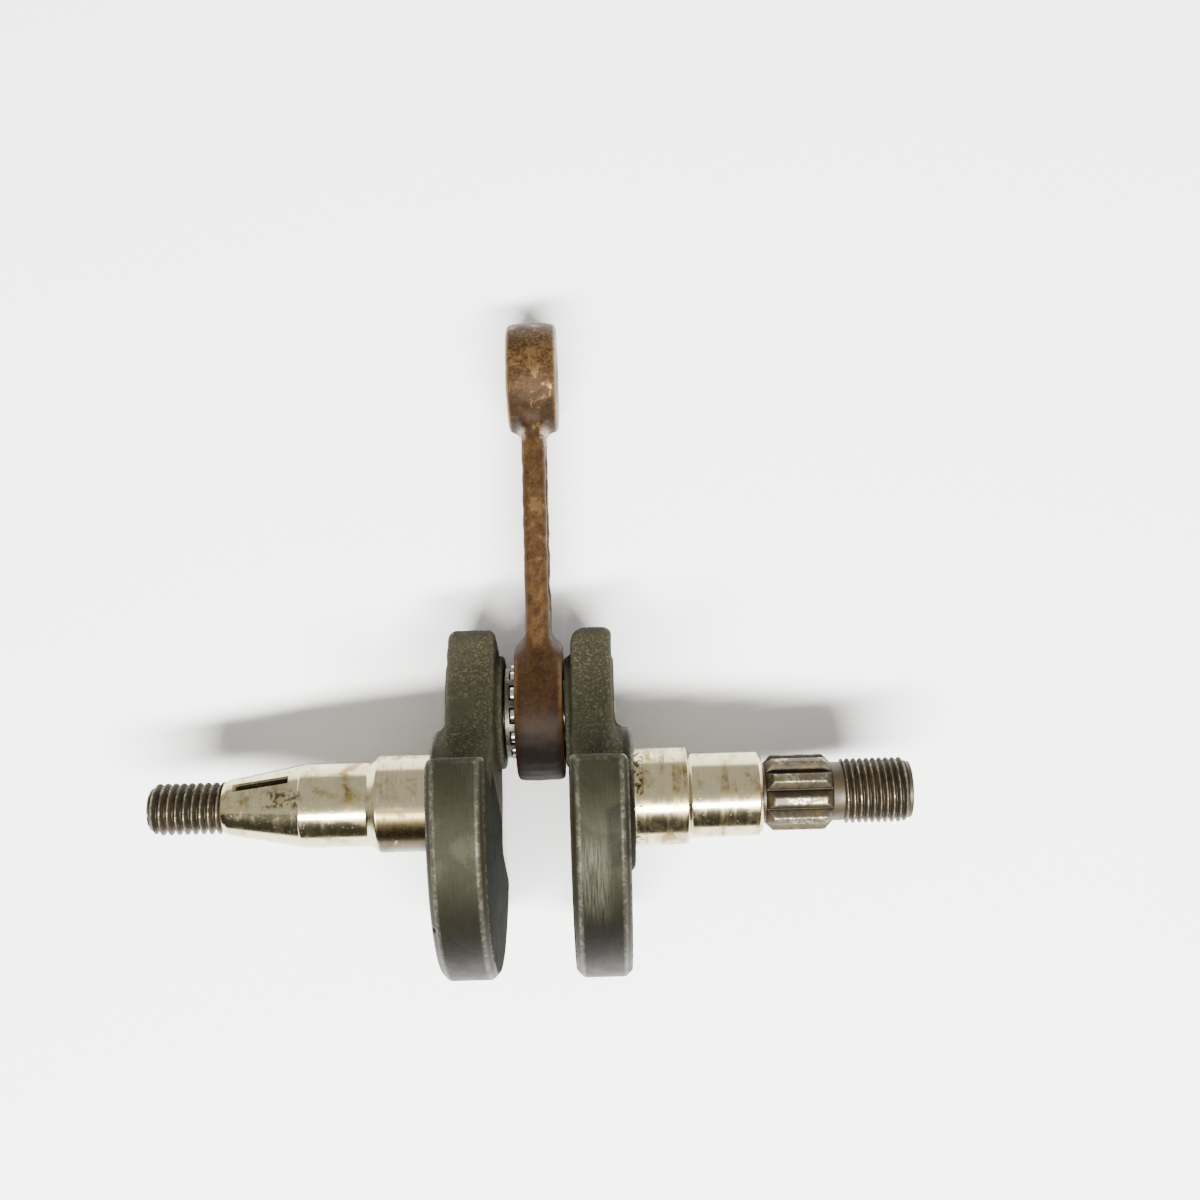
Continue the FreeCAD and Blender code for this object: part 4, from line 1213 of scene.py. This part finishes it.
class CRANK_OT_splines(bpy.types.Operator):
    """Cuts the splines of the drive end"""

    bl_idname = "crank.splines"
    bl_label = "Splines"

    def execute(self, context):
        s = sizes()
        at = drive_stations()
        finish = thread_finish("spline_steel")
        teeth = s["spline_count"]
        phase = teeth * THROW_DOWN / (2 * math.pi) + 0.5
        mesh = spline_ring().make(
            "drive_splines", Start=(MID_X + at["spline"]) * MM,
            Length=(at["spline_end"] - at["spline"]) * MM,
            Inside_radius=(NECK_RADIUS - 0.1) * MM, Outer_radius=SPLINE_RADIUS * MM,
            Root_radius=SPLINE_ROOT * MM, Teeth=float(teeth), Half_groove=1.25 * MM,
            Half_root=0.1 * MM, Chamfer=1.2 * MM, Phase=phase, Rows=84, Around=teeth * 28,
            Material=finish)
        store_crest(mesh, SPLINE_ROOT, SPLINE_RADIUS)
        new_object("drive_splines", mesh, CRANK, finish, smooth_angle=32)
        return {"FINISHED"}


# ------------------------------------------------------------------ connecting rod

ROD_BIG_HALF = 3.75        # half the big eye's width
ROD_BIG_BORE = 7.53        # radius
BIG_EYE_CROWN = 0.35       # how much lower an eye's rim is at its faces, mm
SMALL_EYE_CROWN = 0.55
BORE_CHAMFER = 0.4
SHANK_TO_BIG_EYE = 2.8     # fillets, mm
SHANK_TO_SMALL_EYE = 1.5
POCKET_MARGIN = 1.9        # from a pocket to the shank's edges and to each eye, mm
POCKET_TO_BIG_EYE = 5.5
POCKET_TO_SMALL_EYE = 3.5
SEAM_WIDTH = 0.35          # the forging's parting line over the small eye, mm
SEAM_HEIGHT = 0.04
ROD_WAVE_SEED = 5
ROD_WAVES = (1.6, 6.0)


def rod_distance(s):
    """Distance to the rod; y runs from the big eye's centre to the small one's."""
    big_radius = PIN[1] - ROD_BOX[0][1]
    small_radius = ROD_BOX[1][1] - SMALL_EYE[1]
    big_half = ROD_BIG_HALF
    small_half = (ROD_BOX[1][0] - ROD_BOX[0][0]) / 2
    big_bore, small_bore = ROD_BIG_BORE, mount("small_end_bore")["dims"]["r_mm"]

    def distance(x, y, z):
        from_big = np.hypot(y, z)
        from_small = np.hypot(y - ROD_LENGTH, z)
        big = meet(from_big - big_radius + BIG_EYE_CROWN * (x / big_half) ** 6,
                   np.abs(x) - big_half, 0.5)
        crown = SMALL_EYE_CROWN * np.abs(x / small_half) ** 2.2
        small = meet(from_small - small_radius + crown, np.abs(x) - small_half, 0.6)
        share = np.clip(y / ROD_LENGTH, 0, 1)
        half_width = (s["shank_big_half_width"]
                      + (s["shank_small_half_width"] - s["shank_big_half_width"]) * share)
        start = big_radius + POCKET_TO_BIG_EYE
        end = ROD_LENGTH - small_radius - POCKET_TO_SMALL_EYE
        in_length = np.maximum(start - y, y - end)
        pocket = meet(in_length, np.abs(z) - half_width + POCKET_MARGIN, 1.4)
        depth = s["shank_pocket"] * np.clip(0.5 - pocket / 1.2, 0, 1)
        half = s["shank_thickness"] / 2
        shank = meet(np.abs(z) - half_width, np.abs(x) - half, 1.5)
        shank = np.maximum(shank, np.maximum(-y, y - ROD_LENGTH))
        flank = (np.abs(x) - half + depth) * 0.9
        shank = np.where(depth > 0, np.maximum(shank, flank), shank)
        body = join(join(shank, big, SHANK_TO_BIG_EYE), small, SHANK_TO_SMALL_EYE)
        near_big = np.clip((ROD_LENGTH / 2 - y) * 10, 0, 1)
        body = np.maximum(body, np.abs(x) - small_half + (small_half - big_half) * near_big)
        away = np.minimum(from_big - big_radius, from_small - small_radius)
        skin = np.clip(away / 2 + 0.6, 0.25, 1)
        body = body + s["forge_waves"] * skin * (1 - waves(x, y, z, ROD_WAVE_SEED, *ROD_WAVES))
        seam = np.exp(-(x / SEAM_WIDTH) ** 2) * np.clip((from_small - small_radius) + 1, 0, 1)
        body = body - SEAM_HEIGHT * seam * (np.abs(y - ROD_LENGTH) < small_radius + 1)
        for centre, radius in ((from_big, big_bore), (from_small, small_bore)):
            hole = radius - centre
            face = big_half if radius == big_bore else small_half
            mouth = (radius + BORE_CHAMFER - centre + np.abs(x) - face) * math.sqrt(0.5)
            body = np.maximum(body, np.maximum(hole, mouth))
        return body

    return distance


class CRANK_OT_rod(bpy.types.Operator):
    """Makes the forged connecting rod"""

    bl_idname = "crank.rod"
    bl_label = "Connecting rod"

    def execute(self, context):
        s = sizes()
        distance = rod_distance(s)
        mesh = surface("connecting_rod_forging", distance, (-4.8, -12.2, -12.2),
                       (4.8, ROD_LENGTH + 10.2, 12.2), s["rod_step"])
        points = points_mm(mesh)
        store_shape_values(mesh, distance, points, 0.5)
        x, y, z = points.T
        from_big, from_small = np.hypot(y, z), np.hypot(y - ROD_LENGTH, z)
        bored = (from_big < 8.0) | (from_small < 6.45)
        faces = (np.abs(x) > ROD_BIG_HALF - 0.1) * 0.35
        store(mesh, "turned", np.maximum(bored, faces))
        place_design(mesh, ROD_X, ROD_DOWN, centre=(PIN[1], PIN[2]))
        new_object("connecting_rod_forging", mesh, ROD, rod_finish(),
                   "connecting_rod")
        return {"FINISHED"}


# ------------------------------------------------------------------ crankpin and bearing

CAGE_TO_PIN = 0.6          # clearances and sizes in mm
WINDOW_PLAY = 0.04
WINDOW_DEPTH = 4.0         # along a radius, more than the cage is thick


def window_tree():
    """Cuts one window for each needle through a ring about X."""
    group = bpy.data.node_groups.new("cage_windows", "GeometryNodeTree")
    g = Graph(group)
    face = group.interface
    face.new_socket("Geometry", in_out="INPUT", socket_type="NodeSocketGeometry")
    ids = {}
    for key, kind in (("Count", "Int"), ("Pitch radius", "Float"), ("Turn", "Float"),
                      ("Window", "Vector"), ("Material", "Material")):
        made = face.new_socket(key, in_out="INPUT", socket_type=f"NodeSocket{kind}")
        ids[key] = made.identifier
    face.new_socket("Geometry", in_out="OUTPUT", socket_type="NodeSocketGeometry")
    source = g.node("NodeGroupInput")
    count = Term(g, source.outputs["Count"])
    points = g.node("GeometryNodePoints", None, {"Count": count})
    index = Term(g, g.node("GeometryNodeInputIndex").outputs[0])
    angle = index * (2 * math.pi) / count + Term(g, source.outputs["Turn"])
    radius = Term(g, source.outputs["Pitch radius"])
    spots = g.node("GeometryNodeSetPosition", None, {
        "Geometry": points.outputs[0],
        "Position": g.vector(0.0, radius * g.math("COSINE", angle),
                             radius * g.math("SINE", angle))})
    block = g.node("GeometryNodeMeshCube", None, {"Size": source.outputs["Window"]})
    blocks = g.node("GeometryNodeInstanceOnPoints", None, {
        "Points": spots.outputs[0], "Instance": block.outputs[0],
        "Rotation": g.vector(angle, 0.0, 0.0)})
    real = g.node("GeometryNodeRealizeInstances", None, {0: blocks.outputs[0]})
    cut = g.node("GeometryNodeMeshBoolean", {"operation": "DIFFERENCE", "solver": "EXACT"},
                 {"Mesh 1": source.outputs["Geometry"]})
    group.links.new(real.outputs[0], cut.inputs["Mesh 2"])
    painted = g.node("GeometryNodeSetMaterial", None, {
        "Geometry": cut.outputs[0], "Material": source.outputs["Material"]})
    output = g.node("NodeGroupOutput")
    group.links.new(painted.outputs[0], output.inputs[0])
    return group, ids


class CRANK_OT_bearing(bpy.types.Operator):
    """Makes the crankpin, the cage and its needles"""

    bl_idname = "crank.bearing"
    bl_label = "Crankpin and bearing"

    def execute(self, context):
        c = colours()
        pin_finish = plain_steel_finish("pin_steel", tuple(c.pin), (0.38, 0.36, 0.30),
                                        0.26, 0.008)
        left, right = PIN_BOX[0][0], PIN_BOX[1][0]
        profile = [(left + 0.5, 0), (left, PIN_RADIUS * 0.3), (left, PIN_RADIUS - 0.4),
                   (left + 0.4, PIN_RADIUS), (right - 0.4, PIN_RADIUS),
                   (right, PIN_RADIUS - 0.4), (right, PIN_RADIUS * 0.3), (right - 0.5, 0)]
        mesh = turned_mesh("crankpin_ground", eased(profile, 0.08), 120)
        mesh.transform(Matrix.Translation(Vector((0, PIN[1], PIN[2])) * MM))
        new_object("crankpin_ground", mesh, CRANK, pin_finish, "crankpin", 28)
        self.make_cage(plain_steel_finish("cage_steel", tuple(c.cage), (0.14, 0.13, 0.105),
                                          0.34, 0.02))
        self.make_needles(plain_steel_finish("needle_steel", tuple(c.roller),
                                             (0.55, 0.54, 0.50), 0.14, 0.003))
        return {"FINISHED"}

    def make_cage(self, finish):
        low, high = CAGE_BOX
        outer = (high[2] - low[2]) / 2
        inner = PIN_RADIUS + CAGE_TO_PIN
        half = (high[0] - low[0]) / 2
        ring = [(-half, inner + 0.1), (-half, outer - 0.2), (-half + 0.2, outer),
                (half - 0.2, outer), (half, outer - 0.2), (half, inner + 0.1),
                (half - 0.1, inner), (-half + 0.1, inner)]
        mesh = turned_mesh("cage_blank", ring, 144)
        blank = bpy.data.objects.new("cage_blank", mesh)
        bpy.context.scene.collection.objects.link(blank)
        group, ids = window_tree()
        needle = NEEDLE_BOX[1] - NEEDLE_BOX[0]
        centre = (NEEDLE_BOX[0] + NEEDLE_BOX[1]) / 2
        pitch_radius = math.hypot(centre[1] - PIN[1], centre[2] - PIN[2])
        modifier = blank.modifiers.new("windows", "NODES")
        modifier.node_group = group
        modifier[ids["Count"]] = len(NEEDLES)
        modifier[ids["Pitch radius"]] = pitch_radius * MM
        modifier[ids["Turn"]] = math.atan2(centre[2] - PIN[2], centre[1] - PIN[1])
        window = Vector((needle[0] + 2 * WINDOW_PLAY, WINDOW_DEPTH, needle[1] + 2 * WINDOW_PLAY))
        modifier[ids["Window"]] = (window * MM)[:]
        modifier[ids["Material"]] = finish
        result = finished(blank)
        result.name = "cage_ring"
        result.transform(Matrix.Translation(
            Vector(((low[0] + high[0]) / 2, PIN[1], PIN[2])) * MM))
        new_object("cage_ring", outward(result), CAGE, finish, "big_end_cage", 28)

    def make_needles(self, finish):
        for node in NEEDLES:
            low, high = box_mm(node)
            centre = (low + high) / 2
            radius = (high[1] - low[1]) / 2
            half = (high[0] - low[0]) / 2
            profile = [(-half, 0)]
            for k in range(9):
                angle = math.pi / 2 * k / 8
                profile.append((-half + 0.3 - 0.3 * math.cos(angle),
                                radius - 0.3 + 0.3 * math.sin(angle)))
            profile += [(-x, r) for x, r in reversed(profile)]
            mesh = turned_mesh(f"{node}_roller", profile, 40)
            mesh.transform(Matrix.Translation(Vector(centre) * MM))
            body = [b for b, nodes in frame["record"]["behaviour"]["bodies"].items()
                    if node in nodes][0]
            new_object(f"{node}_roller", mesh, body, finish, node, 40)


# ------------------------------------------------------------------ stage

def add_light(name, place, aim, power, tint, size, size_y):
    """A soft rectangular light at a place, turned to an aim."""
    data = bpy.data.lights.new(name, "AREA")
    data.energy = power
    data.color = tint
    data.shape = "RECTANGLE"
    data.size = size
    data.size_y = size_y
    lamp = bpy.data.objects.new(name, data)
    lamp.location = place
    direction = Vector(aim) - Vector(place)
    lamp.rotation_euler = direction.to_track_quat("-Z", "Y").to_euler()
    bpy.context.scene.collection.objects.link(lamp)


FLOOR_RADIUS = 2.2                  # metres, as the other lengths here
KEY_DISTANCE = 0.75
KEY_LEAN = math.radians(22.5)       # from straight up towards the counterweights
KEY_SIZE = (0.7, 0.10)
KEY_POWER = 42.0                    # watts
KEY_TINT = (1.0, 0.985, 0.95)
CAMERA_X = 0.0108                   # from the plane midway between the webs
CAMERA_Y = 0.0306
CAMERA_LENS = 44.9
CAMERA_TURN = math.radians(-1.6)


def studio_surroundings():
    """A studio's surroundings: bright beyond the rod, dim overhead and in front."""
    world = bpy.data.worlds.new("studio")
    bpy.context.scene.world = world
    world.use_nodes = True
    world.node_tree.nodes.clear()
    g = Graph(world.node_tree)
    direction = g.node("ShaderNodeTexCoord").outputs["Generated"]
    _, y, z = g.xyz(direction)
    beyond = g.step(y, -0.32, -0.18)
    strength = 0.05 + beyond * 0.80
    background = g.node("ShaderNodeBackground", None, {
        "Color": (1.0, 0.985, 0.955, 1), "Strength": strength})
    output = g.node("ShaderNodeOutputWorld")
    g.tree.links.new(background.outputs[0], output.inputs[0])


class CRANK_OT_stage(bpy.types.Operator):
    """Makes the pale floor, the soft light and the camera"""

    bl_idname = "crank.stage"
    bl_label = "Stage"

    def execute(self, context):
        floor_mesh = bpy.data.meshes.new("floor")
        work = bmesh.new()
        bmesh.ops.create_circle(work, cap_ends=True, segments=96, radius=FLOOR_RADIUS)
        work.to_mesh(floor_mesh)
        work.free()
        floor = bpy.data.objects.new("floor", floor_mesh)
        floor.location = (0, 0, (TABLE_Z - 0.02) * MM)
        floor_mesh.materials.append(floor_finish())
        context.scene.collection.objects.link(floor)
        studio_surroundings()
        height = sizes()["camera_height"] * MM
        aim = Vector((MID_X, 0, 0)) * MM
        along = Vector((0.05, -math.sin(KEY_LEAN), math.cos(KEY_LEAN)))
        add_light("key", aim + along * KEY_DISTANCE, aim, KEY_POWER, KEY_TINT, *KEY_SIZE)
        camera_data = bpy.data.cameras.new("camera")
        camera_data.lens = CAMERA_LENS
        camera_data.sensor_width = 36
        camera_data.clip_start = 0.01
        camera = bpy.data.objects.new("camera", camera_data)
        camera.location = (MID_X * MM + CAMERA_X, CAMERA_Y, height)
        camera.rotation_euler = (0, 0, CAMERA_TURN)
        context.scene.collection.objects.link(camera)
        context.scene.camera = camera
        return {"FINISHED"}


# ------------------------------------------------------------------ panel and registration

class CRANK_PT_panel(bpy.types.Panel):
    """Lists the crankshaft's pieces, sizes and colours"""

    bl_idname = "CRANK_PT_panel"
    bl_label = "Built-up crankshaft"
    bl_space_type = "VIEW_3D"
    bl_region_type = "UI"
    bl_category = "Crankshaft"

    def draw(self, context):
        for operator in OPERATORS:
            self.layout.operator(operator.bl_idname)
        for owner, group in ((context.scene.crank_sizes, CrankSizes),
                             (context.scene.crank_colours, CrankColours)):
            box = self.layout.box()
            for key in group.__annotations__:
                box.prop(owner, key)


OPERATORS = (CRANK_OT_webs, CRANK_OT_shafts, CRANK_OT_threads, CRANK_OT_splines,
             CRANK_OT_rod, CRANK_OT_bearing, CRANK_OT_stage)
CLASSES = (CrankSizes, CrankColours, *OPERATORS, CRANK_PT_panel)


def register():
    for made in CLASSES:
        bpy.utils.register_class(made)
    bpy.types.Scene.crank_sizes = bpy.props.PointerProperty(type=CrankSizes)
    bpy.types.Scene.crank_colours = bpy.props.PointerProperty(type=CrankColours)


def unregister():
    del bpy.types.Scene.crank_colours
    del bpy.types.Scene.crank_sizes
    for made in reversed(CLASSES):
        bpy.utils.unregister_class(made)


def main():
    register()
    for operator in OPERATORS:
        group, name = operator.bl_idname.split(".")
        getattr(getattr(bpy.ops, group), name)()


if __name__ == "__main__":
    main()
